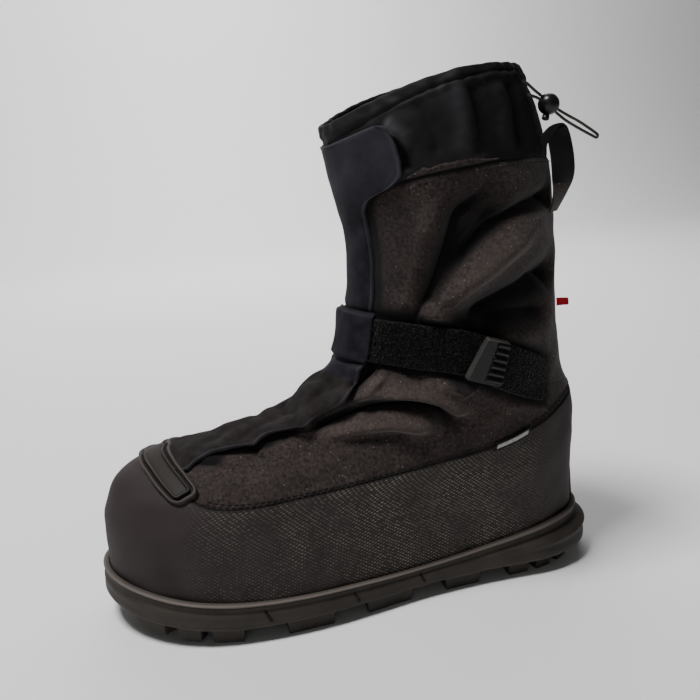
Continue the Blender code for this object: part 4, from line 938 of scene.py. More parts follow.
def ballistic_nylon():
    """Coarse uneven check painted lit and shaded, with a painted highlight along each float, matted
    in large soft patches
    """
    material, tree, shader, place = new_material("charcoal ballistic nylon", 0.72, 0.22)
    bolt = put(tree, "UVMap", uv_map="cloth")
    drift = put(tree, "TexNoise", {"Vector": place, "Scale": per_metre(WANDER_SIZE)})
    moved = put(tree, "VectorMath", {0: drift.outputs["Color"], "Scale": WANDER},
                operation="SCALE")
    uneven = put(tree, "VectorMath", {0: bolt, 1: moved}, operation="ADD")
    grid = put(tree, "Mapping", {
        "Vector": uneven, "Rotation": (0.0, 0.0, BIAS),
        "Scale": (per_metre(FLOAT_LENGTH), per_metre(FLOAT_WIDTH), 0.0)})
    check = put(tree, "TexChecker", {"Vector": grid, "Scale": 1.0})
    own = put(tree, "TexWhiteNoise", {
        "Vector": put(tree, "VectorMath", {0: grid}, operation="FLOOR")})
    axes = put(tree, "SeparateXYZ", {"Vector": grid})
    waves = []
    for axis in ("X", "Y"):
        turned = put(tree, "Math", {0: axes.outputs[axis], 1: math.pi}, operation="MULTIPLY")
        wave = put(tree, "Math", {0: turned}, operation="SINE")
        waves.append(put(tree, "Math", {0: wave}, operation="ABSOLUTE"))
    floats = put(tree, "Math", {0: waves[0], 1: waves[1]}, operation="MULTIPLY")
    patch = put(tree, "TexNoise", {
        "Vector": place, "Scale": per_metre(MATTED_PATCH), "Detail": 4.0, "Roughness": 0.6})
    kept = put(tree, "MapRange", {
        "Value": patch, "From Min": 0.36, "From Max": 0.60, "To Min": 0.18})
    varied = put(tree, "MapRange", {"Value": own, "To Min": 0.15, "To Max": 1.35})
    lit = put(tree, "Math", {0: check.outputs["Fac"], 1: varied}, operation="MULTIPLY")
    # Each float is painted brightest along its middle: a painted highlight
    rounded = put(tree, "Math", {0: lit, 1: floats}, operation="MULTIPLY")
    strong = put(tree, "Math", {0: rounded, 1: 1.7}, operation="MULTIPLY", use_clamp=True)
    weave = put(tree, "Mix", {0: strong, 6: ink(WEFT_PAINTED_SHADED), 7: ink(WARP_PAINTED_LIT)}, data_type="RGBA")
    along = put(tree, "SeparateXYZ", {"Vector": place})
    for start, end in (MATTED_TOE, MATTED_HEEL):
        clear = put(tree, "MapRange", {"Value": along, "From Min": start, "From Max": end})
        kept = put(tree, "Math", {0: kept, 1: clear}, operation="MULTIPLY")
    colour = put(tree, "Mix", {0: kept, 6: ink(MATTED), 7: weave.outputs[2]}, data_type="RGBA")
    raised = put(tree, "Math", {0: rounded, 1: kept}, operation="MULTIPLY")
    bump = put(tree, "Bump", {"Height": raised, "Strength": 0.6, "Distance": 0.35 * MM})
    # Painted shade in the folds and at the seam, painted highlight on the ridges
    feed(shader, {"Base Color": painted_shade_and_highlight(tree, colour.outputs[2], "#0c0a0a", "#565049"),
                  "Normal": bump})
    return material


ballistic = ballistic_nylon()

# %% [markdown]
# ## Smooth nylons
# The flap, the keeper and the collar are close plain weaves, coated on the back, so their faces
# are even and a little glossy. Their threads are too fine to show in the picture, so the bump is
# drawn at three times the real spacing. The flap is navy, the collar black.

# %% Plain weave
PLAIN_THREAD = 0.9 * MM


def mottled(tree, pattern, low, high, dark, pale):
    """Colour from dark to pale, as a pattern's value goes from low to high"""
    spread = put(tree, "MapRange", {"Value": pattern, "From Min": low, "From Max": high})
    mixed = put(tree, "Mix", {0: spread, 6: ink(dark), 7: ink(pale)}, data_type="RGBA")
    return mixed.outputs[2]


def plain_weave(name, dark, pale, roughness, cloud_size=9 * MM, specular=0.2):
    """Close weave with slow, soft changes of tone and a low gloss"""
    material, tree, shader, place = new_material(name, roughness, specular)
    cloud = put(tree, "TexNoise", {
        "Vector": place, "Scale": per_metre(cloud_size), "Detail": 4.0, "Roughness": 0.6})
    gloss = put(tree, "MapRange", {
        "Value": cloud, "From Min": 0.3, "From Max": 0.7,
        "To Min": roughness - 0.06, "To Max": roughness + 0.08})
    grid = put(tree, "Mapping", {
        "Vector": put(tree, "UVMap", uv_map="cloth"),
        "Scale": (per_metre(PLAIN_THREAD), per_metre(PLAIN_THREAD), 1.0)})
    axes = put(tree, "SeparateXYZ", {"Vector": grid})
    waves = []
    for axis in ("X", "Y"):
        turned = put(tree, "Math", {0: axes.outputs[axis], 1: math.tau}, operation="MULTIPLY")
        waves.append(put(tree, "Math", {0: turned}, operation="SINE"))
    threads = put(tree, "Math", {0: waves[0], 1: waves[1]}, operation="ADD")
    bump = put(tree, "Bump", {"Height": threads, "Strength": 0.25, "Distance": 0.08 * MM})
    colour = mottled(tree, cloud, 0.3, 0.7, dark, pale)
    # Painted shade in folds and hollows, painted highlight on ridges and edges
    feed(shader, {"Base Color": painted_shade_and_highlight(tree, colour, "#030303", "#54535a", 0.30),
                  "Roughness": gloss, "Normal": bump})
    return material


navy = plain_weave("navy coated nylon", "#111016", "#24232a", 0.74, 9 * MM, 0.10)
lower_flap_navy = plain_weave("lower flap navy nylon", "#181515", "#2b2726", 0.85, 7 * MM, 0.06)
satin = plain_weave("black coated nylon", "#101011", "#202021", 0.66, 12 * MM, 0.15)
tape = plain_weave("black grosgrain tape", "#070708", "#101011", 0.50, 3 * MM)
red = plain_weave("red grosgrain tape", "#a51322", "#c41c2c", 0.75, 2 * MM)
grey_weave = plain_weave("pale label weave", "#8a8783", "#b5b2ae", 0.8, 1.5 * MM)
thread = plain_weave("black bonded thread", "#0b0a0a", "#1b1918", 0.6, 2 * MM)

# %% [markdown]
# ## Pile webbing
# The strap is a loop-faced webbing: thousands of tiny nylon loops stand up from a flat base and
# swallow the light. Real loops would be too many to model, so a cell pattern at loop size gives
# the bump, and the sheen gives the pale fringe that a pile shows when it is seen at a slant.

# %% Pile
LOOP_SIZE = 1.3 * MM


def pile_webbing():
    """Deep matte black, painted darker between the loops and paler on their tips as painted shade
    and highlight
    """
    material, tree, shader, place = new_material("black pile webbing", 0.95, 0.15)
    wander = put(tree, "TexNoise", {
        "Vector": place, "Scale": per_metre(LOOP_SIZE), "Detail": 3.0, "Distortion": 1.2})
    loops = put(tree, "TexVoronoi", {"Vector": place, "Scale": per_metre(LOOP_SIZE)})
    height = put(tree, "Math", {0: wander, 1: loops}, operation="SUBTRACT")
    bump = put(tree, "Bump", {"Height": height, "Strength": 0.9, "Distance": 0.9 * MM})
    # Colour follows the loops' height: painted shade between them, painted highlight on their tips
    feed(shader, {"Base Color": mottled(tree, height, 0.05, 0.42, "#070707", "#2b2b2b"),
                  "Normal": bump, "Sheen Weight": 0.10, "Sheen Roughness": 0.4})
    return material


pile = pile_webbing()

# %% [markdown]
# ## Rubber, foam and acetal
# The sole and the toe band are injection-moulded thermoplastic rubber. The mould was blasted with
# fine grit, so the rubber has a satin face with a faint grain. Raised edges and beads get a painted
# highlight and grooves a painted shade. The buckle and the cord lock are acetal, moulded against
# polished steel, hard and glossy; the buckle's rim gets a painted highlight.

# %% Moulded materials
GRIT = 0.7 * MM
HANDLING = 18.0 * MM
HAZE = 2.5 * MM
TUFT = 2.2 * MM


def thermoplastic_rubber(name, dark, pale, roughness):
    """Satin rubber with a blasted grain and faint handling marks"""
    material, tree, shader, place = new_material(name, roughness, 0.18)
    grain = put(tree, "TexNoise", {"Vector": place, "Scale": per_metre(GRIT), "Detail": 3.0})
    marks = put(tree, "TexNoise", {
        "Vector": place, "Scale": per_metre(HANDLING), "Detail": 5.0, "Roughness": 0.65})
    dull = put(tree, "MapRange", {
        "Value": marks, "From Min": 0.3, "From Max": 0.7,
        "To Min": roughness - 0.08, "To Max": roughness + 0.1})
    bump = put(tree, "Bump", {"Height": grain, "Strength": 0.25, "Distance": 0.15 * MM})
    colour = mottled(tree, marks, 0.32, 0.68, dark, pale)
    # Painted shade in grooves and hollows, painted highlight on beads and raised edges
    feed(shader, {"Base Color": painted_shade_and_highlight(tree, colour, "#0e0c0b", "#6b625d", 0.8),
                  "Roughness": dull, "Normal": bump})
    return material


def acetal(name, colour, roughness):
    """Hard glossy plastic with a fine moulded haze"""
    material, tree, shader, place = new_material(name, roughness, 0.25)
    base = put(tree, "RGB")
    base.outputs[0].default_value = ink(colour)
    haze = put(tree, "TexNoise", {"Vector": place, "Scale": per_metre(HAZE), "Detail": 4.0})
    soft = put(tree, "MapRange", {
        "Value": haze, "To Min": roughness - 0.05, "To Max": roughness + 0.10})
    bump = put(tree, "Bump", {"Height": haze, "Strength": 0.08, "Distance": 0.1 * MM})
    # Painted highlight on the buckle's rim and painted shade on its plate
    feed(shader, {"Base Color": painted_shade_and_highlight(tree, base, "#060606", "#403e3b", 0.8), "IOR": 1.48,
                  "Roughness": soft, "Coat Weight": 0.15, "Coat Roughness": 0.22, "Normal": bump})
    return material


def fleece(name, dark, pale):
    """Short brushed pile: soft clumps and no gloss"""
    material, tree, shader, place = new_material(name, 1.0, 0.1)
    tufts = put(tree, "TexNoise", {
        "Vector": place, "Scale": per_metre(TUFT), "Detail": 5.0, "Roughness": 0.7})
    bump = put(tree, "Bump", {"Height": tufts, "Strength": 0.8, "Distance": 1.0 * MM})
    feed(shader, {"Base Color": mottled(tree, tufts, 0.3, 0.7, dark, pale),
                  "Normal": bump, "Sheen Weight": 0.3})
    return material


rubber = thermoplastic_rubber("charcoal thermoplastic rubber", "#2e2a27", "#3c3732", 0.62)
band_rubber = thermoplastic_rubber("toe band thermoplastic rubber", "#1f1b19", "#2a2522", 0.62)
black_acetal = acetal("black acetal", "#131212", 0.30)
lining_fleece = fleece("black fleece lining", "#0b0b0c", "#1d1d1f")
print("materials:", len(bpy.data.materials))

# %% [markdown]
# ## Sole
# The outsole is one moulding: a wall that leans out to a ledge at the heel, a bead along its
# top, three slanting grooves on each side, and lugs below. A wall could be extruded, but here
# each of its rings is the rim's outline moved in or out, so the bead and the ledge run true.
# A thin line low on the wall shows where the mould's two halves met; it and the bead carry a
# painted highlight, and the grooves a painted shade.

# %% Wall of the outsole
SOLE_AROUND = 1150
EDGE_LINE = 0.00045
EDGE_LINE_PLACE = 0.13
# Profile of the wall with its fine bead: share of its height, stand-out, share of the heel ledge
WALL_ROWS = PROFILE_ROWS[:5] + [
    (0.84, -0.25 * SIDE_RELIEF, 0.00), (0.905, -0.20 * SIDE_RELIEF, 0.00),
    (0.93, 0.60 * SIDE_RELIEF, 0.00), (0.975, 0.75 * SIDE_RELIEF, 0.00),
    (1.00, 0.10 * SIDE_RELIEF, 0.00)]
# Lip of the rim, from its edge in to the seat: inset, drop
LIP_ROWS = [(0.0006, -0.0003), (0.0014, -0.0004), (0.0024, -0.0003), (0.0030, 0.0003),
            (0.0031, 0.0015), (0.0031, 0.0030)]
PLATE_INSET = 0.004
LEDGE_START = 0.62
LEDGE_RUN = 0.34


def groove_cut(x, z, side):
    """Depth of the slanting grooves where the wall passes through them"""
    depth = np.zeros(x.shape)
    for place in GROOVE_PLACES:
        middle = float(outline(turn_at(place, -1))[0])
        bottom = TREAD_DEPTH + 0.20 * (float(rim_height(place)) - TREAD_DEPTH)
        top = TREAD_DEPTH + 0.78 * (float(rim_height(place)) - TREAD_DEPTH)
        gap = np.abs(x - middle + GROOVE_LEAN * (z - bottom)) / (GROOVE_WIDTH / 2.0)
        between = smoothstep((z - bottom) / 0.002) * smoothstep((top - z) / 0.002)
        depth += GROOVE_DEPTH * np.exp(-gap**4) * between
    return depth


def turn_at(along, side):
    """Turn of a place along the outer (-1) or the inner (1) side"""
    share = math.acos(1.0 - 2.0 * along) / (2.0 * math.pi)
    return share if side < 0 else 1.0 - share


def sole_wall():
    turns = np.arange(SOLE_AROUND) / SOLE_AROUND
    along, side = along_and_side(turns)
    floor_height = TREAD_DEPTH + tread_lift(along)
    top = rim_height(along)
    ledge = HEEL_LEDGE * smoothstep((along - LEDGE_START) / LEDGE_RUN) ** 2 + 0.12 * HEEL_LEDGE
    rows = []
    shades = []
    x, y = outline(turns, PLATE_INSET)
    middle = toe_swing(along)
    for spread in np.linspace(0.0, 1.0, 5)[:-1]:
        rows.append(np.stack([x, middle + (y - middle) * spread, floor_height], axis=-1))
        shades.append(np.zeros(SOLE_AROUND))
    for share in np.concatenate([np.linspace(0.0, 0.84, 40), np.linspace(0.855, 1.0, 20)]):
        line = math.exp(-((share - EDGE_LINE_PLACE) / 0.02) ** 2)
        stand = float(read_rows(WALL_ROWS, share, 1)) + EDGE_LINE * line
        stand = stand + float(read_rows(WALL_ROWS, share, 2)) * ledge
        # Painted highlight on the mould line and on the bead
        painted_highlight = 0.45 * line + 0.85 * float(smoothstep((share - 0.915) / 0.03))
        height = floor_height + (top - floor_height) * share
        x, y = outline(turns, -stand)
        cut = groove_cut(x, height, side)
        x, y = outline(turns, -stand + cut)
        rows.append(np.stack([x, y, height], axis=-1))
        # Painted shade in the grooves
        shades.append(painted_highlight - np.clip(cut / GROOVE_DEPTH, 0.0, 1.0))
    for inset, drop in LIP_ROWS:
        x, y = outline(turns, inset)
        rows.append(np.stack([x, y, top - drop], axis=-1))
        # Painted highlight on the lip's top, painted shade where it drops into the seat
        shades.append(np.full(SOLE_AROUND, 0.3 if drop < 0.001 else -0.8))
    return grid_object("sole_wall", np.array(rows), rubber, closed=True, shade=shades)


dress(sole_wall(), "rubber", "outsole")

# %% [markdown]
# ## Lugs
# The tread is blocks under both edges and chevron bars down the middle. The mould's draft makes
# each block a little smaller at the floor. Bevelled edges take the light as moulded rubber does.

# %% Lugs
LUG_EDGE = 0.0009


def add_lug(points, faces, plan):
    """Block under the tread plate, drawn in at the floor by the mould's draft"""
    plan = np.array(plan)
    middle = plan.mean(axis=0)
    reach = np.linalg.norm(plan - middle, axis=1, keepdims=True)
    foot = middle + (plan - middle) * (1.0 - LUG_DRAFT / reach)
    lift = tread_lift(along_at(foot[:, 0]))
    root = TREAD_DEPTH + tread_lift(along_at(plan[:, 0])) + LUG_ROOT
    first, count = len(points), len(plan)
    points.extend([*np.column_stack([foot, lift]), *np.column_stack([plan, root])])
    faces.append([first + i for i in reversed(range(count))])
    faces.append([first + count + i for i in range(count)])
    for i in range(count):
        j = (i + 1) % count
        faces.append([first + i, first + j, first + count + j, first + count + i])


def towards_spine(point, distance):
    """Move a plan point straight towards the line down the middle of the tread"""
    front = -TOE_REACH + TOE_ROUND * SOLE_LENGTH
    back = HEEL_REACH - HEEL_ROUND * SOLE_LENGTH
    reach = np.array([min(max(point[0], front), back), 0.0]) - point
    return point + reach * distance / np.linalg.norm(reach)


def tread_lugs():
    points = []
    faces = []
    for side in (-1, 1):
        for start, end in LUG_ROWS:
            places = np.linspace(start, end, 7)
            edge = [np.array(outline(turn_at(place, side), LUG_INSET)) for place in places]
            inner = [towards_spine(point, LUG_WIDTH) for point in edge]
            add_lug(points, faces, edge + inner[::-1])
    for start, end, half in BAR_ROWS:
        low = -TOE_REACH + SOLE_LENGTH * start
        high = -TOE_REACH + SOLE_LENGTH * end
        shift = float(toe_swing(np.array(start)))
        point = 0.35 * (high - low)
        add_lug(points, faces, [
            (low - point, shift), (low, shift + half), (high, shift + half),
            (high - point, shift), (high, shift - half), (low, shift - half)])
    mesh = bpy.data.meshes.new("tread_lugs")
    mesh.from_pydata(points, [], faces)
    body = bmesh.new()
    body.from_mesh(mesh)
    bmesh.ops.recalc_face_normals(body, faces=body.faces)
    body.to_mesh(mesh)
    body.free()
    mesh.materials.append(rubber)
    piece = add_to_scene(bpy.data.objects.new("tread_lugs", mesh))
    rounded = piece.modifiers.new("moulded edges", "BEVEL")
    rounded.width = LUG_EDGE
    rounded.segments = 2
    rounded.limit_method = "ANGLE"
    rounded.angle_limit = math.radians(35.0)
    return piece


dress(tread_lugs(), "rubber", "outsole")

# %% [markdown]
# ## Footbed
# A flat fleece-topped footbed lies on the seat. It only shows from above, through the collar, so
# it is the sole's outline drawn in by the cloth's thickness, with a soft rounded edge.

# %% Footbed
FOOTBED_EDGE = 0.0008


def footbed():
    turns = np.arange(240) / 240
    along, side = along_and_side(turns)
    edge = SEAT_INSET + UPPER_WALL + 4.0 * FIT
    rows = []
    for inset, height in ((0.0, 0.0), (0.0, 0.7), (FOOTBED_EDGE, 0.93), (3 * FOOTBED_EDGE, 1.0)):
        x, y = outline(turns, edge + inset)
        rows.append(np.stack([x, y, seat_height(x) + FIT + height * INSOLE_THICKNESS], axis=-1))
    rim = rows[-1]
    for spread in np.linspace(1.0, 0.0, 12)[1:]:
        y = toe_swing(along) + (rim[:, 1] - toe_swing(along)) * spread
        rows.append(np.stack([rim[:, 0], y, rim[:, 2]], axis=-1))
    return grid_object("footbed", np.array(rows), lining_fleece, closed=True)


dress(footbed(), "foam", "insole")

# %% [markdown]
# ## Where the strap presses
# The strap is pulled tight, so no fold passes under it: ridges are pressed flat there and the
# cloth puffs out a little along both edges of the strap. The same rule is used by every piece
# that lies on the cloth.

# %% Strap line and pressed cloth
# Flat margin beside the strap, and how far the folds take to rise above and below it
PRESS_MARGIN = 0.0010
PRESS_FADE_ABOVE = 0.0120
PRESS_FADE_BELOW = 0.0050
PUFF = 0.0014
PUFF_REACH = 0.0045
UNDER_STRAP = 0.0020
PRESS_END = 0.02
# Share of a ridge's height by which it hangs down
SLUMP = 0.75


def strap_middle(turn):
    signed = (np.asarray(turn, dtype=float) + 0.5) % 1.0 - 0.5
    return read_rows(STRAP_ROWS, np.abs(signed)), signed


def level_at_height(turn, height):
    """Level where one meridian reaches one height, or each of several"""
    levels = np.linspace(0.0, 1.0, 401)
    return np.interp(height, surface(turn, levels)[:, 2], levels)


def pressed(turn, level):
    """How free the cloth is to fold, 0 under the strap and 1 away from it, and its puff"""
    turn, level = together(turn, level)
    middle, signed = strap_middle(turn)
    height = surface(turn, level)[..., 2]
    gap = np.abs(height - middle) - WEBBING_WIDTH / 2.0 - PRESS_MARGIN
    ends = (smoothstep((signed - STRAP_ENDS[0] + PRESS_END) / PRESS_END)
            * smoothstep((ANCHOR_ENDS[1] + PRESS_END - signed) / PRESS_END))
    fade = np.where(height > middle, PRESS_FADE_ABOVE, PRESS_FADE_BELOW)
    free = 1.0 - (1.0 - smoothstep(gap / fade)) * ends
    puff = PUFF * np.exp(-((gap - PUFF_REACH) / PUFF_REACH) ** 2) * ends
    return free, puff


def boot_folds(turn, level):
    """Folds of the cloth, pressed flat under the strap, which stands a little off them"""
    free, puff = pressed(turn, level)
    folds = relief(turn, level)
    folds = np.where(folds > 0.0, folds * free, folds * (0.25 + 0.75 * free))
    return folds + puff - UNDER_STRAP * (1.0 - free)


def boot_cloth(turn, level, lift, folds=None):
    """Place over the folded cloth; ridges hang down a little, so they lean over the troughs"""
    folds = boot_folds(turn, level) if folds is None else folds
    points = lifted(turn, level, np.asarray(lift) + folds)
    points[..., 2] -= SLUMP * np.maximum(folds - PUFF, 0.0)
    return points


# %% [markdown]
# ## Lower panel
# The lower panel wraps the foot from the rim up to the panel seam. It is stiff, so only the ends
# of the folds reach it. Its top edge is turned in and shows as a small step under the heather.
# Its weave runs level all the way around, so each point's height and one row's length lay it.

# %% Lower panel
CLOTH_AROUND = 420
EDGE_RADIUS = 0.0009
# Fold height at which the painted highlight is full, and the painted shade on the last rows at the
# seam
PANEL_RIDGE = 0.0060
SEAM_PAINTED_SHADE = 0.7


def lower_panel():
    turns = np.arange(CLOTH_AROUND) / CLOTH_AROUND
    seam = seam_level(turns)
    roll = EDGE_RADIUS / climb(turns, seam)
    angles = np.linspace(0.25, 1.0, 4)[:, None] * math.pi / 2.0
    face = np.linspace(0.0, 1.0, 78)[:, None] * (seam - roll)
    edge = seam - roll + roll * np.sin(angles)
    drop = 1.6 * EDGE_RADIUS * (1.0 - np.cos(angles))
    level = np.concatenate([face, edge])
    lift = np.concatenate([np.full(face.shape, PANEL_STEP),
                           np.broadcast_to(PANEL_STEP - drop, edge.shape)])
    folds = boot_folds(turns[None, :], level)
    # Painted shade in the folds, painted highlight on the ridges, painted shade on the last rows at
    # the seam
    shade = np.clip(folds / PANEL_RIDGE, -1.0, 1.0)
    shade[-5:] -= SEAM_PAINTED_SHADE
    points = boot_cloth(turns[None, :], level, lift, folds)
    laid = cloth_lengths(wrapped(points))
    laid[..., 0] = laid[len(laid) // 2, :, 0]
    laid[..., 1] = wrapped(points)[..., 2]
    return grid_object("lower_panel", points, ballistic, closed=True, lengths=laid, shade=shade)


dress(lower_panel(), "heather_fabric", "upper")

# %% [markdown]
# ## Heather panel
# The soft part of the boot: vamp, instep and shaft in one. Its grid is a millimetre fine, because
# it carries the folds. Its lower edge is tucked behind the lower panel and its top edge dips
# into the collar's seam. Its painted shade is darkest in the folds, along the seams, beside the
# flap, under the strap and in the small hollows under the strap's lower edge, where little light
# comes in, and its ridges get a painted highlight.

# %% Heather panel
# Outer edge of the flap: level, turn
FLAP_EDGE = [
    (0.356, 0.072), (0.372, 0.084), (0.392, 0.077), (0.414, 0.071), (0.430, 0.084), (0.450, 0.094),
    (0.470, 0.087), (0.486, 0.098), (0.500, 0.112), (0.518, 0.108), (0.542, 0.106), (0.566, 0.111),
    (0.590, 0.105), (0.616, 0.095), (0.645, 0.089), (0.690, 0.085), (0.730, 0.083), (0.766, 0.080),
    (0.813, 0.078), (0.846, 0.079), (0.866, 0.083), (0.880, 0.100), (0.889, 0.134), (0.898, 0.150),
    (0.912, 0.155), (0.930, 0.155), (0.948, 0.153), (0.958, 0.149), (0.964, 0.141), (0.967, 0.130),
]
TUCK = 0.006
# Width of the painted shadow beside the flap's free edge
FLAP_SHADOW = 0.0058
# Painted shade on the shaft beside the flap
SHAFT_PAINTED_SHADE = 0.32
# Depth of a fold at which the painted shade is full, and height of one at which the painted
# highlight is full
HOLLOW_DEPTH = 0.0072
RIDGE_HEIGHT = 0.0080
# Painted shadow in the hollows under the strap's lower edge: turn, reach below the edge
STRAP_PAINTED_SHADOW = [
    (0.080, 0.0), (0.098, 0.0060), (0.108, 0.0100), (0.116, 0.0060), (0.123, 0.0008),
    (0.136, 0.0024), (0.155, 0.0042), (0.178, 0.0046), (0.200, 0.0018), (0.222, 0.0042),
    (0.244, 0.0080), (0.262, 0.0115), (0.270, 0.0030), (0.282, 0.0008), (0.300, 0.0)]
SEAM_DIP = 0.0010
SEAM_REACH = 0.0030
# Level at which the flap widens into its tab
FLAP_TAB_FOOT = 0.885


def heather_panel():
    turns = np.arange(CLOTH_AROUND) / CLOTH_AROUND
    turn = turns[None, :]
    start = seam_level(turns) - TUCK
    shares = np.concatenate([np.linspace(0.0, 0.03, 14)[:-1], np.linspace(0.03, 0.985, 196)[:-1],
                             np.linspace(0.985, 1.0, 8)])
    level = start + (SHAFT_TOP - start) * shares[:, None]
    below_top = (SHAFT_TOP - level) * climb(turn, level)
    dip = SEAM_DIP * np.exp(-2.0 * (below_top / SEAM_REACH) ** 2)
    above_seam = (level - seam_level(turns)) * climb(turn, level)
    folds = boot_folds(turn, level)
    # Painted shade in the folds and painted highlight on the ridges
    shade = np.clip(folds / np.where(folds < 0.0, HOLLOW_DEPTH, RIDGE_HEIGHT), -1.0, 1.0)
    # Painted shade along the panel seam and in the dip at the collar seam
    shade = shade - 0.9 * np.exp(-((above_seam - 0.0006) / 0.0009) ** 2) - 0.9 * dip / SEAM_DIP
    # Painted shadows: under the strap, beside the flap's free edge, on the shaft beside the flap
    # and in the hollows under the strap's lower edge
    free = pressed(turn, level)[0]
    around = np.linalg.norm(surface(turn + 0.005, level) - surface(turn - 0.005, level), axis=-1)
    behind_flap = (turn - read_rows(FLAP_EDGE, level)) * around / 0.01
    gap = np.exp(-(np.maximum(behind_flap, 0.0) / FLAP_SHADOW) ** 4) * (level < FLAP_TAB_FOOT)
    below_strap = strap_middle(turns)[0] - WEBBING_WIDTH / 2.0 - surface(turn, level)[..., 2]
    reach = read_rows(STRAP_PAINTED_SHADOW, turns)
    under = smoothstep((reach - below_strap) / 0.0010) * (reach > 0.0)
    under = under * (below_strap > -WEBBING_WIDTH / 2.0)
    beside_flap = smoothstep((0.190 - turns) / 0.05) * smoothstep(turns / 0.05)
    shade_beside_flap = SHAFT_PAINTED_SHADE * beside_flap * smoothstep((level - 0.64) / 0.03)
    shade_beside_flap = shade_beside_flap * smoothstep((FLAP_TAB_FOOT - level) / 0.06)
    shade = np.clip(shade - 0.85 * (1.0 - free) - gap - shade_beside_flap - under, -1.0, 1.0)
    points = boot_cloth(turn, level, -dip, folds)
    return grid_object("heather_panel", points, heather, closed=True, shade=shade)


dress(heather_panel(), "heather_fabric", "upper")

# %% [markdown]
# ## Collar
# Thin coated cloth, gathered at its rim by the cord in the casing. The cord's pull puts short
# gathers along the casing and a few long soft pleats below it, each drawn as a fold line.

# %% Collar
COLLAR_FOLDS = [
    ("casing seam", -0.0011, 0.0013, 0.02, 0.02, [
        (0.02, 0.968), (0.08, 0.974), (0.15, 0.979), (0.208, 0.984), (0.266, 0.986),
        (0.33, 0.988), (0.40, 0.988)]),
    ("inner casing seam", -0.0011, 0.0013, 0.02, 0.02, [
        (0.60, 0.988), (0.68, 0.987), (0.76, 0.985), (0.84, 0.979), (0.91, 0.974),
        (0.98, 0.969)]),
    ("pleat beside the tab", 0.0034, 0.0042, 0.20, 0.40, [
        (0.144, 0.968), (0.156, 0.952), (0.168, 0.938), (0.176, 0.926)]),
    ("tuck under the pleat", -0.0034, 0.0036, 0.20, 0.20, [
        (0.15, 0.95), (0.157, 0.932), (0.16, 0.914), (0.158, 0.90)]),
    ("long pleat", 0.0018, 0.0075, 0.15, 0.20, [
        (0.258, 0.985), (0.256, 0.962), (0.25, 0.938), (0.242, 0.914), (0.236, 0.898)]),
    ("long tuck", -0.0024, 0.0062, 0.15, 0.10, [
        (0.279, 0.984), (0.275, 0.96), (0.27, 0.935), (0.266, 0.912), (0.262, 0.898)]),
    ("back pleat", 0.0014, 0.0070, 0.20, 0.20, [
        (0.322, 0.98), (0.318, 0.95), (0.306, 0.92), (0.296, 0.90)]),
    ("back tuck", -0.0022, 0.0045, 0.20, 0.20, [
        (0.346, 0.982), (0.342, 0.952), (0.334, 0.922), (0.33, 0.90)]),
    ("front fold", -0.0016, 0.0050, 0.20, 0.20, [
        (0.19, 0.984), (0.20, 0.96), (0.206, 0.935), (0.204, 0.905)]),
    ("inner long pleat", 0.0028, 0.0075, 0.15, 0.20, [
        (0.742, 0.985), (0.746, 0.95), (0.752, 0.92), (0.758, 0.90)]),
    ("inner tuck", -0.0030, 0.0055, 0.15, 0.20, [
        (0.715, 0.984), (0.722, 0.95), (0.728, 0.92), (0.734, 0.90)]),
    ("inner front pleat", 0.0024, 0.0070, 0.15, 0.20, [
        (0.842, 0.98), (0.838, 0.95), (0.83, 0.92), (0.826, 0.90)]),
    ("inner back tuck", -0.0024, 0.0050, 0.15, 0.20, [
        (0.64, 0.984), (0.646, 0.95), (0.656, 0.92), (0.66, 0.90)]),
    ("centre back fold", -0.0020, 0.0060, 0.20, 0.20, [
        (0.52, 0.982), (0.516, 0.95), (0.508, 0.92), (0.505, 0.90)]),
]
COLLAR_LINES = fold_lines(COLLAR_FOLDS)
GATHER_DEPTH = 0.0005
GATHER_SIZE = 0.0085
CASING_START = 0.972
RIM_RADIUS = 0.0016
# Fold size at which the painted shade and highlight are full, and the painted shade on the back
# half
TUCK_DEPTH = 0.0034
COLLAR_BACK_SHADE = 0.5
# Level where the fleece starts, inside the collar
LINING_TOP = 0.965


def collar_lift(turns, level):
    level = np.broadcast_to(np.asarray(level, dtype=float), turns.shape)
    points = surface(turns, level)
    casing = smoothstep((level - CASING_START) / 0.012)
    gathers = GATHER_DEPTH * ripple(points, GATHER_SIZE, 5) * (0.25 + 0.75 * casing)
    seam = -0.0006 * np.exp(-((level - SHAFT_TOP) / 0.006) ** 2)
    return fold_heights(points, COLLAR_LINES) + gathers + CASING_SWELL * casing + seam


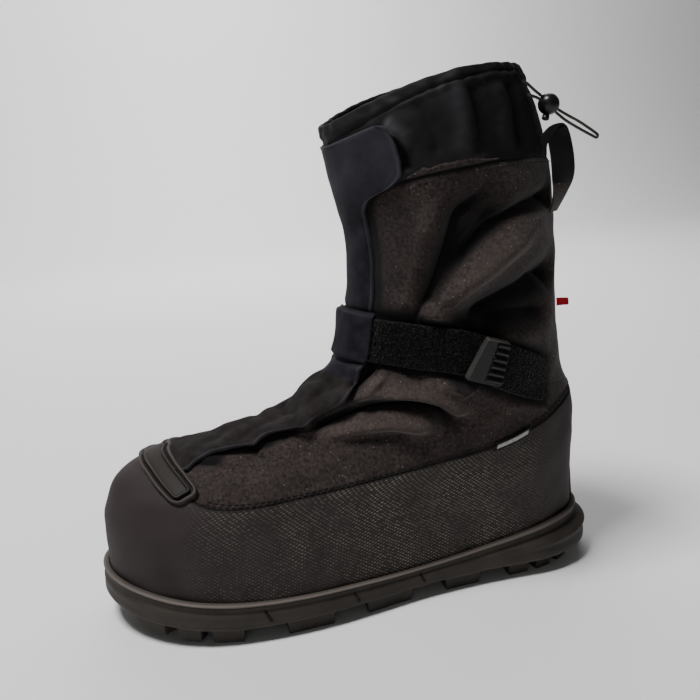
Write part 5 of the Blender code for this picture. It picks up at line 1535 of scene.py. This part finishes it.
def collar():
    turns = np.arange(CLOTH_AROUND) / CLOTH_AROUND
    every = np.ones(CLOTH_AROUND)
    rim = 1.0 - RIM_RADIUS / climb(turns, 0.99 * every)
    start = SHAFT_TOP + 0.0006
    rows = [lifted(turns, start * every, -RIM_RADIUS * every)]
    # Painted shade where the collar starts in the seam
    shades = [-0.8 * every]
    # Painted shade on the back half, which turns away from the light, and painted shade and
    # highlight from the pleats
    away = COLLAR_BACK_SHADE * smoothstep((turns - 0.264) / 0.008) * smoothstep((0.50 - turns) / 0.05)
    for share in np.linspace(0.0, 1.0, 84):
        level = start + (rim - start) * share
        rows.append(lifted(turns, level, collar_lift(turns, level)))
        shades.append(fold_heights(surface(turns, level), COLLAR_LINES) / TUCK_DEPTH - away)
    crown = lifted(turns, rim, collar_lift(turns, rim) - RIM_RADIUS)
    outward = normal(turns, rim)
    upward = surface(turns, rim) - surface(turns, rim - 0.004)
    upward /= np.linalg.norm(upward, axis=1, keepdims=True)
    for angle in np.linspace(0.15, 1.0, 8) * math.pi:
        rows.append(crown + RIM_RADIUS * (outward * math.cos(angle) + upward * math.sin(angle)))
    for share in np.linspace(0.04, 1.0, 12):
        level = rim + (LINING_TOP - 0.01 - rim) * share
        lift = collar_lift(turns, level) - 2.0 * RIM_RADIUS + share * 0.0008
        rows.append(lifted(turns, level, np.minimum(lift, -COLLAR_WALL)))
    # Painted shade on the crown's back half and inside the collar
    shades += [-away] * 8 + [-0.6 * every] * 12
    return grid_object("collar_cloth", np.array(rows), satin, closed=True,
                       shade=np.clip(shades, -1.0, 1.0))


dress(collar(), "coated_fabric", "collar")

# %% [markdown]
# ## Lining
# Inside, the whole boot is lined with black brushed fleece. It lies one wall's thickness behind
# the cloth and follows its folds, and it draws back behind the collar's tucks.

# %% Lining
LINING_AROUND = 240


def lining():
    turns = np.arange(LINING_AROUND) / LINING_AROUND
    lower = np.linspace(0.0, SHAFT_TOP, 110)[:, None]
    upper = np.linspace(SHAFT_TOP, LINING_TOP, 12)[1:, None]
    behind_collar = [np.minimum(collar_lift(turns, level), 0.0) - COLLAR_WALL - 2.0 * FIT
                     for level in upper]
    rows = [boot_cloth(turns[None, :], lower, -UPPER_WALL),
            lifted(turns[None, :], upper, behind_collar)]
    return grid_object("lining", np.concatenate(rows)[::-1], lining_fleece, closed=True)


dress(lining(), "coated_fabric", "upper")

# %% [markdown]
# ## Welt above the collar seam
# The heather's raw edge is turned up over the seam for a stretch beside the flap. It is a low
# ragged strip with a round back, tapered at both ends, and it lies on the collar's own folds.

# %% Collar welt
WELT_ENDS = (0.158, 0.286)
WELT_START = SHAFT_TOP + 0.0022
WELT_HEIGHT = 0.0034
WELT_BULGE = 0.0007
WELT_STEPS = 160


def collar_welt():
    turns = np.linspace(WELT_ENDS[0], WELT_ENDS[1], WELT_STEPS)
    start = np.full(WELT_STEPS, WELT_START)
    ends = smoothstep((turns - WELT_ENDS[0]) / 0.02) * smoothstep((WELT_ENDS[1] - turns) / 0.05)
    ragged = 1.0 + 0.22 * ripple(surface(turns, start), 0.004, 31)
    tall = (0.25 + 0.75 * ends * ragged) * WELT_HEIGHT / climb(turns, start)
    level = start + np.linspace(0.0, 1.0, 9)[:, None] * tall
    turn = np.broadcast_to(turns, level.shape)
    base = np.array([collar_lift(turns, row) for row in level])
    bulge = WELT_BULGE * np.sin(np.linspace(0.06, 0.98, 9) * math.pi)[:, None]
    return grid_object("collar_welt", lifted(turn, level, base + bulge), heather)


dress(collar_welt(), "heather_fabric")

# %% [markdown]
# ## Toe band
# A rubber band is welded across the toe to take the scuffs. It has a bold bead around its edge,
# a groove, a second finer bead and a flat field inside, all from one moulding. A grid would have
# sharp corners, so the band is drawn as rings: each is the same rounded rectangle drawn in a
# little more, and its height and its painted shade are given by how far in it lies: the beads get
# a painted highlight and the grooves a painted shade. Beads follow the edge.

# %% Rings of a rounded rectangle
def rounded_ring(half_long, half_wide, radius, long_steps=70, wide_steps=12, corner_steps=7):
    """Points around a rounded rectangle"""
    radius = min(radius, half_long, half_wide)
    arcs = []
    for k, corner in enumerate([(1, 1), (-1, 1), (-1, -1), (1, -1)]):
        centre = np.array(corner) * (half_long - radius, half_wide - radius)
        angles = (k / 2.0 + np.linspace(0.0, 0.5, corner_steps)) * math.pi
        arcs.append(centre + radius * np.stack([np.cos(angles), np.sin(angles)], axis=1))
    points = []
    for k, arc in enumerate(arcs):
        count = wide_steps if k % 2 else long_steps
        points += [*arc, *np.linspace(arc[-1], arcs[(k + 1) % 4][0], count + 2)[1:-1]]
    return np.array(points)


# %% Toe band
BAND_CORNER = 0.0075
BAND_FIELD = 0.0012
# Height of the bold bead and of the fine one, and how far in from the edge each stands
BEAD_HEIGHT = 0.0026
BEAD_INSET = 0.0017
FINE_HEIGHT = 0.0013
FINE_INSET = 0.0054
GROOVE_INSET = 0.0039
INNER_GROOVE_INSET = 0.0072


def hump(inset, place, width):
    return math.exp(-((inset - place) / width) ** 2)


def band_height(inset):
    bead = math.sqrt(max(1.0 - ((inset - BEAD_INSET) / BEAD_INSET) ** 2, 0.0)) * BEAD_HEIGHT
    field = BAND_FIELD * float(smoothstep((inset - 0.0042) / 0.0010)) + 0.0002
    return max(bead, field + FINE_HEIGHT * hump(inset, FINE_INSET, 0.0008), 0.0)


# Painted highlight on the beads and painted shade in the grooves
def band_shade(inset):
    beads = hump(inset, BEAD_INSET, 0.0009) + hump(inset, FINE_INSET, 0.0006)
    grooves = hump(inset, GROOVE_INSET, 0.0006) + 0.5 * hump(inset, INNER_GROOVE_INSET, 0.0008)
    return 0.3 * beads - grooves


def toe_band():
    turn_reach = BAND_END + BAND_END_LEAN
    across = surface(np.linspace(0.0, turn_reach, 40), 0.30)
    half_long = np.linalg.norm(np.diff(across, axis=0), axis=1).sum()
    half_wide = np.linalg.norm(surface(0.0, BAND_ROWS[0][2]) - surface(0.0, BAND_ROWS[0][1])) / 2.0
    insets = [0.0, *np.linspace(0.0, 0.0034, 11), *np.linspace(0.0036, 0.0078, 14),
              *np.linspace(0.0086, half_wide, 4)]
    flat = np.array([rounded_ring(half_long - inset, max(half_wide - inset, 1e-6),
                                  max(BAND_CORNER - inset, 1e-6)) for inset in insets])
    every = np.ones(flat.shape[1])
    height = np.array([0.0 * every] + [band_height(inset) * every for inset in insets[1:]])
    shade = np.array([band_shade(inset) * every for inset in insets])
    width = 0.5 + flat[..., 1] / (2.0 * half_wide)
    turn = flat[..., 0] / half_long * (BAND_END + BAND_END_LEAN * width)
    front = read_rows(BAND_ROWS, np.abs(turn), 1)
    rear = read_rows(BAND_ROWS, np.abs(turn), 2)
    points = lifted(turn, front + (rear - front) * width, PANEL_STEP + LAY + height)
    print("toe band: %.0f x %.0f mm" % (2000 * half_long, 2000 * half_wide))
    return grid_object("toe_band_rubber", points, band_rubber, closed=True,
                       lengths=wrapped(flat), shade=shade)


dress(toe_band(), "rubber", "toe_band")

# %% [markdown]
# ## Front flap
# The flap closes the boot down the front: a wide tab at the collar, a strip down the shaft, and
# a puckered stretch over the vamp that ends under the toe band. Its outer edge is bound, so it
# has a small raised rim with a fine groove inside it, and it stands a little off the vamp.

# %% Front flap
# Inner edge of the flap: level, turn
FLAP_BACK = [(0.356, -0.058), (0.430, -0.060), (0.560, -0.070), (0.680, -0.078),
             (0.930, -0.078), (0.950, -0.076), (0.960, -0.071), (0.967, -0.062)]
BINDING = 0.0022
BINDING_RISE = 0.0005
# Below this height the flap takes a paler, browner navy
LOWER_FLAP_HEIGHT = 0.150
# How far the flap's free edge stands off the vamp
FLAP_GAP = 0.0042
PUCKER = 0.0009
PUCKER_SIZE = 0.017


def flap_grid(rows=250, columns=44):
    levels = np.linspace(FLAP_EDGE[0][0], FLAP_EDGE[-1][0], rows)
    shares = (1.0 - np.cos(np.linspace(0.0, math.pi, columns))) / 2.0
    level, share = np.meshgrid(levels, shares, indexing="ij")
    left = read_rows(FLAP_BACK, level)
    right = read_rows(FLAP_EDGE, level)
    turn = left + (right - left) * share
    rear = read_rows(BAND_ROWS, np.abs(turn), 2)
    follow = 1.0 - smoothstep((level - levels[0]) / 0.14)
    return turn, level + (rear - BAND_ROWS[0][2]) * follow - 0.006 * follow, share


def front_flap():
    turn, level, share = flap_grid()
    face = boot_cloth(turn, level, 0.0)
    steps = cloth_lengths(face)
    width = steps[:, -1:, 0]
    top = steps[-1:, :, 1] - steps[..., 1]
    edge = edge_gap(steps)
    outer_edge = np.minimum(width - steps[..., 0], top)
    vamp = smoothstep((0.66 - level) / 0.05) * smoothstep((level - 0.38) / 0.04)
    stand = LAY + FLAP_GAP * vamp * smoothstep((share - 0.55) / 0.45)
    stand = stand + LAY * smoothstep((level - 0.83) / 0.035)
    stand = stand + PANEL_STEP * (1.0 - smoothstep((level - 0.36) / 0.02))
    rise = BINDING_RISE * np.exp(-((outer_edge - 0.5 * BINDING) / (0.5 * BINDING)) ** 4)
    rise = rise - 0.0003 * np.exp(-((outer_edge - BINDING - 0.0004) / 0.0004) ** 2)
    puckers = PUCKER * ripple(face.reshape(-1, 3), PUCKER_SIZE, 21).reshape(turn.shape)
    free = (0.3 + 0.7 * vamp) * smoothstep((level - 0.37) / 0.03)
    stand = stand + np.maximum(puckers, -0.0006) * free
    folds = boot_folds(turn, level)
    thick = (FLAP_THICKNESS + rise) * edge_roll(edge, EDGE_RADIUS)
    faces = [boot_cloth(turn, level, stand, folds), boot_cloth(turn, level, stand + thick, folds)]
    # Painted shade and highlight on the puckers, a paler bound edge, and the tab painted lighter as
    # painted light
    shade = np.clip(puckers / PUCKER, -1.0, 1.0) * 0.18 + np.where(outer_edge < BINDING, 0.6, 0.0)
    shade = shade + 0.6 * smoothstep((level - 0.860) / 0.04)
    cloth = grid_object("flap_cloth", thick_grid(*faces), navy, shade=thick_grid(shade, shade))
    cloth.data.materials.append(lower_flap_navy)
    heights = np.array([face.center[2] for face in cloth.data.polygons])
    cloth.data.polygons.foreach_set("material_index", (heights < LOWER_FLAP_HEIGHT).astype(int))
    return cloth


dress(front_flap(), "navy_fabric", "front_flap")

# %% [markdown]
# ## Strap, anchor and keeper
# The strap goes over the instep from the inner side, under a keeper band on the flap, and into
# the buckle. Its far end is held by the anchor, a short length of plainer webbing. The strap's
# loops make its face uneven by a few tenths of a millimetre.

# %% Strap and anchor
LOOP_DEPTH = 0.00028


def strap_base(turn):
    """Height of the strap's inner face: on the cloth at its ends, over the flap in front"""
    first, second, third, fourth = STRAP_OVER_FLAP
    up = smoothstep((turn - first) / (second - first))
    down = smoothstep((turn - third) / (fourth - third))
    return LAY + (FLAP_THICKNESS + 1.5 * LAY) * up * (1.0 - down)


def strap_levels(turns, offsets):
    """Levels at heights over and under the middle of the strap"""
    middle = strap_middle(turns)[0]
    offsets = np.asarray(offsets)
    return np.array([level_at_height(turn, height + offsets)
                     for turn, height in zip(turns, middle)]).T


def webbing(name, ends, columns, depth):
    turns = np.linspace(ends[0], ends[1], columns)
    offsets = np.linspace(-0.5, 0.5, 46) * WEBBING_WIDTH
    level = strap_levels(turns, offsets)
    turn = np.broadcast_to(turns, level.shape)
    base = strap_base(turn)
    edge = (WEBBING_WIDTH / 2.0 - np.abs(offsets))[:, None]
    inner = lifted(turn, level, base)
    flat = inner.reshape(-1, 3)
    fuzz = depth * (ripple(flat, 0.0016, 11, 40) + 0.7 * ripple(flat, 0.0031, 12, 30))
    thick = WEBBING_THICKNESS + fuzz.reshape(turn.shape)
    outer = lifted(turn, level, base + thick * edge_roll(edge + 0.0001, 0.0011))
    return grid_object(name, thick_grid(inner, outer), pile)


dress(webbing("strap_webbing", STRAP_ENDS, 520, LOOP_DEPTH), "webbing", "strap")
dress(webbing("anchor_webbing", ANCHOR_ENDS, 110, 0.5 * LOOP_DEPTH), "webbing", "strap_anchor")

# %% Keeper
KEEPER_RISE = WEBBING_THICKNESS + 1.5 * LAY


def strap_keeper():
    turns = np.linspace(KEEPER_ENDS[0], KEEPER_ENDS[1], 90)
    reach = WEBBING_WIDTH / 2.0 + LAY + KEEPER_THICKNESS + KEEPER_MARGIN
    offsets = np.linspace(-reach, reach, 60)
    level = strap_levels(turns, offsets)
    turn = np.broadcast_to(turns, level.shape)
    low = LAY + FLAP_THICKNESS + 2.0 * LAY
    past = (np.abs(offsets) - WEBBING_WIDTH / 2.0 - LAY) / (KEEPER_THICKNESS + 0.5 * KEEPER_MARGIN)
    stand = low + KEEPER_RISE * (1.0 - smoothstep(past))[:, None]
    inner = lifted(turn, level, stand)
    steps = cloth_lengths(inner)
    edge = np.minimum(edge_gap(steps), steps[..., 1])
    sag = 0.00025 * ripple(inner.reshape(-1, 3), 0.012, 8).reshape(turn.shape)
    outer = lifted(turn, level, stand + sag + KEEPER_THICKNESS * edge_roll(edge, 0.0008))
    return grid_object("keeper_band", thick_grid(inner, outer), navy)


dress(strap_keeper(), "navy_fabric", "strap_keeper")

# %% [markdown]
# ## Buckle
# The buckle is a tapered acetal plate. Its left part is smooth, and a sunk field on its right
# holds six grip ribs. A height over its plan gives the rim, the field and the ribs, which is how
# a mould for it would be cut.

# %% Buckle
FIELD_START = 0.50
FIELD_EDGE = 0.0010
BUCKLE_DISH = 0.0012
RIM_BAND = 0.0015
RIB_PROUD = 0.0003
ROUNDED_EDGE = 0.0011


def axes_matrix(place, x, y, z):
    """Matrix with its origin at a place and the given axes"""
    matrix = Matrix((x, y, z)).transposed().to_4x4()
    matrix.translation = Vector(place)
    return matrix


def strap_frame(turn, lift):
    """Matrix on the strap: X along it to the heel, Y across it and Z out of the boot"""
    reach = 0.02
    turns = np.array([turn - reach, turn, turn + reach])
    levels = strap_levels(turns, [0.0])[0]
    before, place, after = lifted(turns, levels, np.full(3, lift))
    out = Vector(normal(turn, levels[1]))
    run = Vector(after - before)
    along = (run - run.dot(out) * out).normalized()
    return axes_matrix(place, along, out.cross(along), out)


def buckle_height(x, y):
    """Rim on the left and the top, a smooth plate, and six round ribs on the right"""
    length = BUCKLE_LENGTH / 2.0
    width = BUCKLE_WIDTH / 2.0
    ribs = smoothstep((x + length - 2.0 * length * FIELD_START) / 0.0010)
    pitch = 2.0 * (width - FIELD_EDGE) / BUCKLE_RIBS
    wave = np.abs(np.sin(math.pi * (y + width - FIELD_EDGE) / pitch)) ** 0.7
    inside = smoothstep((width - FIELD_EDGE - np.abs(y)) / 0.0006)
    rim = np.maximum(1.0 - smoothstep((x + length - RIM_BAND) / 0.0007),
                     1.0 - smoothstep((width - y - RIM_BAND) / 0.0007))
    plate = BUCKLE_HEIGHT - BUCKLE_DISH * (1.0 - rim)
    ribbed = BUCKLE_HEIGHT - BUCKLE_POCKET + (BUCKLE_POCKET + RIB_PROUD) * wave
    return plate + (ribbed - plate) * ribs * inside


def buckle():
    width = BUCKLE_WIDTH / 2.0
    length = BUCKLE_LENGTH / 2.0
    matrix = strap_frame(BUCKLE_PLACE, LAY + WEBBING_THICKNESS + 2.0 * FIT)
    matrix = np.array(matrix @ Matrix.Rotation(math.radians(BUCKLE_TURN), 4, "Z"))
    x, y = np.meshgrid(np.linspace(-length, length, 110), np.linspace(-width, width, 150))
    reach_x = np.maximum(np.abs(x) - length + BUCKLE_CORNER, 0.0)
    reach_y = np.maximum(np.abs(y) - width + BUCKLE_CORNER, 0.0)
    over = np.hypot(reach_x, reach_y)
    pull = np.where(over > BUCKLE_CORNER, BUCKLE_CORNER / np.maximum(over, 1e-9), 1.0)
    x = np.sign(x) * (np.abs(x) - reach_x * (1.0 - pull))
    y = np.sign(y) * (np.abs(y) - reach_y * (1.0 - pull))
    inset = np.maximum(BUCKLE_CORNER - over, 0.0)
    rounded = BUCKLE_HEIGHT * edge_roll(inset, ROUNDED_EDGE)
    top = np.minimum(rounded + 0.0004, buckle_height(x, y))
    share = (y / width + 1.0) / 2.0
    left = -length + BUCKLE_LEAN * share
    right = length - BUCKLE_TAPER * share
    across = left + (right - left) * (x / length + 1.0) / 2.0
    flat = np.ones(x.shape)
    outer = (np.stack([across, y, top, flat], axis=-1) @ matrix.T)[..., :3]
    inner = (np.stack([across, y, 0.0 * flat, flat], axis=-1) @ matrix.T)[..., :3]
    # Painted highlight on the rim along the left and top, painted shade on the rest of the smooth
    # plate
    rim = np.maximum(smoothstep((RIM_BAND + 0.0003 - x - length) / 0.0004),
                     smoothstep((RIM_BAND + 0.0003 - width + y) / 0.0004))
    plate = x < 2.0 * length * FIELD_START - length
    shade = np.pad(np.where(plate, rim - 0.9 * (1.0 - rim), 0.8 * rim), 1)
    return grid_object("buckle_plate", thick_grid(inner, outer), black_acetal, shade=shade)


dress(buckle(), "black_plastic", "buckle")

# %% [markdown]
# ## Label, heel guard and back tab
# The label is a narrow woven ribbon across the panel seam: black, with a bare pale bar. The heel
# guard is a rubber strip up the back seam. The red tab is a folded tape caught in the seam.

# %% Label
BAR_MARGIN = 0.0016


def label_patch(name, margin, lift, material):
    turns = np.linspace(LABEL_ENDS[0], LABEL_ENDS[1], 50)
    run = np.linalg.norm(np.diff(surface(turns, seam_level(turns)), axis=0), axis=1).sum()
    trim = margin / run * (LABEL_ENDS[1] - LABEL_ENDS[0])
    turns = np.linspace(LABEL_ENDS[0] + trim, LABEL_ENDS[1] - trim, 50)
    middle = seam_level(turns)
    half = LABEL_WIDTH / 2.0 - margin
    offsets = np.linspace(-half, half, 16)
    level = middle[None, :] + offsets[:, None] / climb(turns, middle)[None, :]
    turn = np.broadcast_to(turns, level.shape)
    edge = np.broadcast_to((half - np.abs(offsets))[:, None], turn.shape)
    base = PANEL_STEP + lift
    inner = boot_cloth(turn, level, base)
    outer = boot_cloth(turn, level, base + LABEL_THICKNESS * edge_roll(edge + 0.0001, 0.0005))
    piece = grid_object(name, thick_grid(inner, outer), material)
    dress(piece, "coated_fabric", "side_label")


label_patch("label_ribbon", 0.0, LAY, tape)
label_patch("label_bar", BAR_MARGIN, LAY + 0.2 * LABEL_THICKNESS, grey_weave)

# %% Heel guard
# Share of its height, share of its width
GUARD_SHAPE = [(0.0, 1.0), (0.3, 0.88), (0.6, 0.76), (0.85, 0.62), (1.0, 0.42)]


def heel_guard():
    base_level = level_at_height(0.5, HEEL_RIM + FIT)
    top_level = level_at_height(0.5, HEEL_RIM + GUARD_HEIGHT)
    width = float(np.linalg.norm(surface(0.52, base_level) - surface(0.48, base_level))) / 0.04
    height, share = np.meshgrid(np.linspace(0.0, 1.0, 60), np.linspace(-1.0, 1.0, 50),
                                indexing="ij")
    narrow = read_rows(GUARD_SHAPE, height)
    turn = 0.5 + share * narrow * GUARD_WIDTH / 2.0 / width
    rim = rim_height(along_at(surface(turn[0], base_level)[:, 0])) + FIT
    foot = np.array([level_at_height(t, height) for t, height in zip(turn[0], rim)])
    level = foot[None, :] + (top_level - foot[None, :]) * height
    steps = cloth_lengths(surface(turn, level))
    edge = edge_gap(steps)
    inner = lifted(turn, level, np.full(turn.shape, PANEL_STEP))
    thick = GUARD_THICKNESS - 0.0003 + 0.0004 * np.exp(-((edge - 0.0022) / 0.0006) ** 2)
    outer = lifted(turn, level, PANEL_STEP + LAY + thick * edge_roll(edge, 0.0018))
    return grid_object("heel_guard_rubber", thick_grid(inner, outer), band_rubber)


dress(heel_guard(), "rubber", "heel_guard")

# %% Back tab
def back_tab():
    turn, level = TAB_PLACE
    place = lifted(turn, level, np.array(FIT))
    out = Vector(normal(turn, level))
    across = Vector((0.0, 0.0, 1.0)).cross(out).normalized()
    matrix = np.array(axes_matrix(place, out, across, out.cross(across)))
    half = TAB_THICKNESS / 2.0
    straight = np.linspace(0.0, TAB_REACH - half, 8)[:-1]
    section = [(x, -half) for x in straight]
    for angle in np.linspace(-0.5, 0.5, 14) * math.pi:
        section.append((TAB_REACH - half * (1.0 - math.cos(angle)), half * math.sin(angle)))
    section += [(x, half) for x in straight[::-1]]
    points = np.array([[(x, y, z) for x, y in section]
                       for z in np.linspace(-0.5, 0.5, 12) * TAB_HEIGHT])
    points[..., 1] += 0.0005 * np.sin(points[..., 0] / TAB_REACH * math.pi)
    points[..., 2] *= 1.0 + 0.05 * np.cos(points[..., 0] / TAB_REACH * math.pi)
    points = np.concatenate([points, np.ones(points.shape[:2] + (1,))], axis=2) @ matrix.T
    return grid_object("back_tab_tape", capped(points[..., :3]), red)


def capped(points):
    """Close the first and the last row of a grid onto the line between their ends"""
    first = np.linspace(points[0, 0], points[0, -1], points.shape[1])
    last = np.linspace(points[-1, 0], points[-1, -1], points.shape[1])
    return np.concatenate([first[None], points, last[None]], axis=0)


dress(back_tab(), "red_tape", "back_tab")

# %% [markdown]
# ## Pull loop
# A satin tape is sewn behind the collar, stands up, folds over and falls down the back with a
# half twist. A tape is a ribbon along a smooth line: each place has a middle and a direction
# across, and both faces and both edges follow.

# %% Pull loop
LOOP_STEPS = 9
# Step of the path where the tape ends and its foot of heather cloth starts
LOOP_FOOT = 66


def ribbon(name, path, material):
    """Flat tape along a path whose rows are a middle and a direction across"""
    middle = path[:, :3]
    across = path[:, 3:] / np.linalg.norm(path[:, 3:], axis=1, keepdims=True)
    ahead = np.gradient(middle, axis=0)
    face = np.cross(ahead, across)
    face /= np.linalg.norm(face, axis=1, keepdims=True)
    shares = np.linspace(-1.0, 1.0, 30)
    half_width = TAPE_WIDTH / 2.0
    edge = half_width * (1.0 - np.abs(shares))
    thick = TAPE_THICKNESS * edge_roll(edge + 0.00005, 0.0005)
    spread = middle[:, None] + across[:, None] * (half_width * shares)[None, :, None]
    centre = spread + face[:, None] * TAPE_THICKNESS / 2.0
    outer = centre + face[:, None] * (thick / 2.0)[None, :, None]
    inner = centre - face[:, None] * (thick / 2.0)[None, :, None]
    return grid_object(name, np.concatenate([outer, inner[:, ::-1]], axis=1), material, closed=True)


places = []
for turn, level, lift, across in LOOP_ROWS:
    places.append([*lifted(turn, level, np.array(lift)), *Vector(across).normalized()])
loop_path = smooth_path(places, LOOP_STEPS)
dress(ribbon("pull_loop_tape", loop_path[:LOOP_FOOT + 1], tape), "coated_fabric", "pull_loop")
dress(ribbon("pull_loop_foot", loop_path[LOOP_FOOT:], heather), "heather_fabric", "pull_loop")

# %% [markdown]
# ## Cord lock and drawcord
# The drawcord comes out of the casing, passes through the lock twice and hangs behind it as a
# flat loop. It is an elastic round cord, so it is one curve with a round section. The lock is a
# ball with a bore for both strands and a spring button below.

# %% Cord lock
LOCK_RINGS = 40
BUTTON_AXIS = (-0.30, -0.10, -0.95)
BUTTON_EDGE = 0.0007


def turned_part(name, profile, matrix, material, around=56):
    """Part turned about its own Z from a profile of radius and height"""
    angles = np.arange(around) / around * math.tau
    rows = [np.stack([r * np.cos(angles), r * np.sin(angles), z + 0.0 * angles, np.ones(around)],
                     axis=-1) for r, z in profile]
    points = np.array(rows) @ np.array(matrix).T
    return grid_object(name, points[..., :3], material, closed=True)


def cord_lock():
    axis = Vector(LOCK_AXIS).normalized()
    matrix = Matrix.Translation(LOCK_PLACE) @ axis.to_track_quat("Z", "Y").to_matrix().to_4x4()
    opening = math.asin(LOCK_BORE / LOCK_RADIUS)
    bore = [(LOCK_BORE - 0.0002, 0.4 * LOCK_RADIUS), (LOCK_BORE - 0.0002, -0.4 * LOCK_RADIUS)]
    ball = [(LOCK_RADIUS * math.sin(a), LOCK_RADIUS * -math.cos(a))
            for a in np.linspace(opening, math.pi - opening, LOCK_RINGS)]
    profile = [bore[1], *ball, *bore]
    return turned_part("cord_lock_ball", profile, matrix, black_acetal)


def lock_button():
    down = Vector(BUTTON_AXIS).normalized()
    centre = Vector(LOCK_PLACE) + down * (LOCK_RADIUS + FIT + PLUNGER_LENGTH / 2.0)
    matrix = Matrix.Translation(centre) @ down.to_track_quat("Z", "Y").to_matrix().to_4x4()
    half = PLUNGER_LENGTH / 2.0
    profile = [(0.0001, -half), (PLUNGER_RADIUS, -half), (PLUNGER_RADIUS, half - BUTTON_EDGE)]
    for a in np.linspace(0.2, 1.0, 5) * math.pi / 2.0:
        profile.append((PLUNGER_RADIUS - BUTTON_EDGE * (1.0 - math.cos(a)),
                        half - BUTTON_EDGE * (1.0 - math.sin(a))))
    profile.append((0.0001, half))
    return turned_part("cord_lock_push_button", profile, matrix, black_acetal, 32)


ball = dress(cord_lock(), "black_plastic", "cord_lock")
button = dress(lock_button(), "black_plastic", "cord_lock_button")

# %% Drawcord
# Length of one turn of the braid
BRAID = 9.6 * MM


def braided_elastic():
    """Round elastic with a tight braid: a soft gloss broken by the strands"""
    material, tree, shader, place = new_material("black braided elastic", 0.38, 0.5)
    strands = put(tree, "TexWave", {
        "Vector": place, "Scale": per_metre(BRAID), "Distortion": 0.6, "Detail": 1.0},
        bands_direction="DIAGONAL").outputs["Fac"]
    colour = put(tree, "Mix", {0: strands, 6: ink("#161611"), 7: ink("#2d2c26")},
                 data_type="RGBA")
    bump = put(tree, "Bump", {"Height": strands, "Strength": 0.5, "Distance": 0.15 * MM})
    feed(shader, {"Base Color": colour.outputs[2], "Normal": bump})
    return material


def drawcord():
    curve = bpy.data.curves.new("drawcord_line", "CURVE")
    curve.dimensions = "3D"
    curve.bevel_depth = CORD_RADIUS
    curve.bevel_resolution = 6
    curve.use_fill_caps = True
    path = smooth_path(CORD_POINTS, 6)
    line = curve.splines.new("POLY")
    line.points.add(len(path) - 1)
    line.points.foreach_set("co", np.concatenate([path, np.ones((len(path), 1))], axis=1).ravel())
    line.use_smooth = True
    curve.materials.append(braided_elastic())
    piece = add_to_scene(bpy.data.objects.new("drawcord_line", curve))
    return piece, float(np.linalg.norm(np.diff(path, axis=0), axis=1).sum())


cord, cord_length = drawcord()
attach(cord, "root")
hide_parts("drawcord")
print("drawcord: %.0f mm" % (1000 * cord_length))

# %% [markdown]
# ## Stitches
# Lockstitches hold the panels: two rows over the panel seam and one below the collar's. Each
# stitch is a short thread that sinks at both ends. They are drawn a little coarser than real
# thread, because finer ones wouldn't show from a step away.

# %% Stitches
STITCH_LENGTH = 0.0030
STITCH_PITCH = 0.0040
STITCH_LIFT = 0.0001
THREAD_RADIUS = 0.00032
# Rows over the panel seam, with their height above it; they stop at the toe band
SEAM_STITCHES = [("panel_seam_stitches", 0.0022), ("second_seam_stitches", 0.0042)]
BAND_CLEAR = 0.125
COLLAR_STITCH_DROP = 0.0034


def stitches(name, turns, levels):
    """Row of stitches on the heather, along a line on the boot"""
    points = boot_cloth(turns, levels, STITCH_LIFT)
    outward = normal(turns, levels)
    walked = np.concatenate([[0.0], np.cumsum(np.linalg.norm(np.diff(points, axis=0), axis=1))])
    starts = np.arange(STITCH_PITCH, walked[-1] - STITCH_PITCH, STITCH_PITCH)
    across_steps = np.linspace(0.0, 1.0, 5)
    height = THREAD_RADIUS * (1.6 * np.sin(across_steps * math.pi) - 0.6)
    angles = np.arange(5) / 5 * math.tau
    vertices = []
    for start in starts:
        at = start + across_steps * STITCH_LENGTH
        middle, out = [np.stack([np.interp(at, walked, line[:, k]) for k in range(3)], axis=1)
                       for line in (points, outward)]
        run = middle[-1] - middle[0]
        side = np.cross(run / np.linalg.norm(run), out)
        for m, o, s, h in zip(middle, out, side, height):
            for angle in angles:
                vertices.append(m + o * (h + THREAD_RADIUS * math.sin(angle))
                                + s * THREAD_RADIUS * math.cos(angle))
    # Each stitch is five rings of five points
    faces = [(i + k, i + (k + 1) % 5, i + 5 + (k + 1) % 5, i + 5 + k)
             for i in range(0, len(vertices), 5) if i % 25 < 20 for k in range(5)]
    mesh = bpy.data.meshes.new(name)
    mesh.from_pydata(vertices, [], faces)
    mesh.materials.append(thread)
    mesh.shade_smooth()
    dress(add_to_scene(bpy.data.objects.new(name, mesh)), "heather_fabric")


around = np.linspace(0.0, 1.0, 900)
seam_turns = around[np.abs((around + 0.5) % 1.0 - 0.5) > BAND_CLEAR]
for name, above in SEAM_STITCHES:
    levels = seam_level(seam_turns)
    stitches(name, seam_turns, levels + above / climb(seam_turns, levels))
top_turns = np.linspace(0.16, 0.92, 700)
below = COLLAR_STITCH_DROP / climb(top_turns, np.full(700, SHAFT_TOP - 0.01))
stitches("collar_seam_stitches", top_turns, SHAFT_TOP - below)
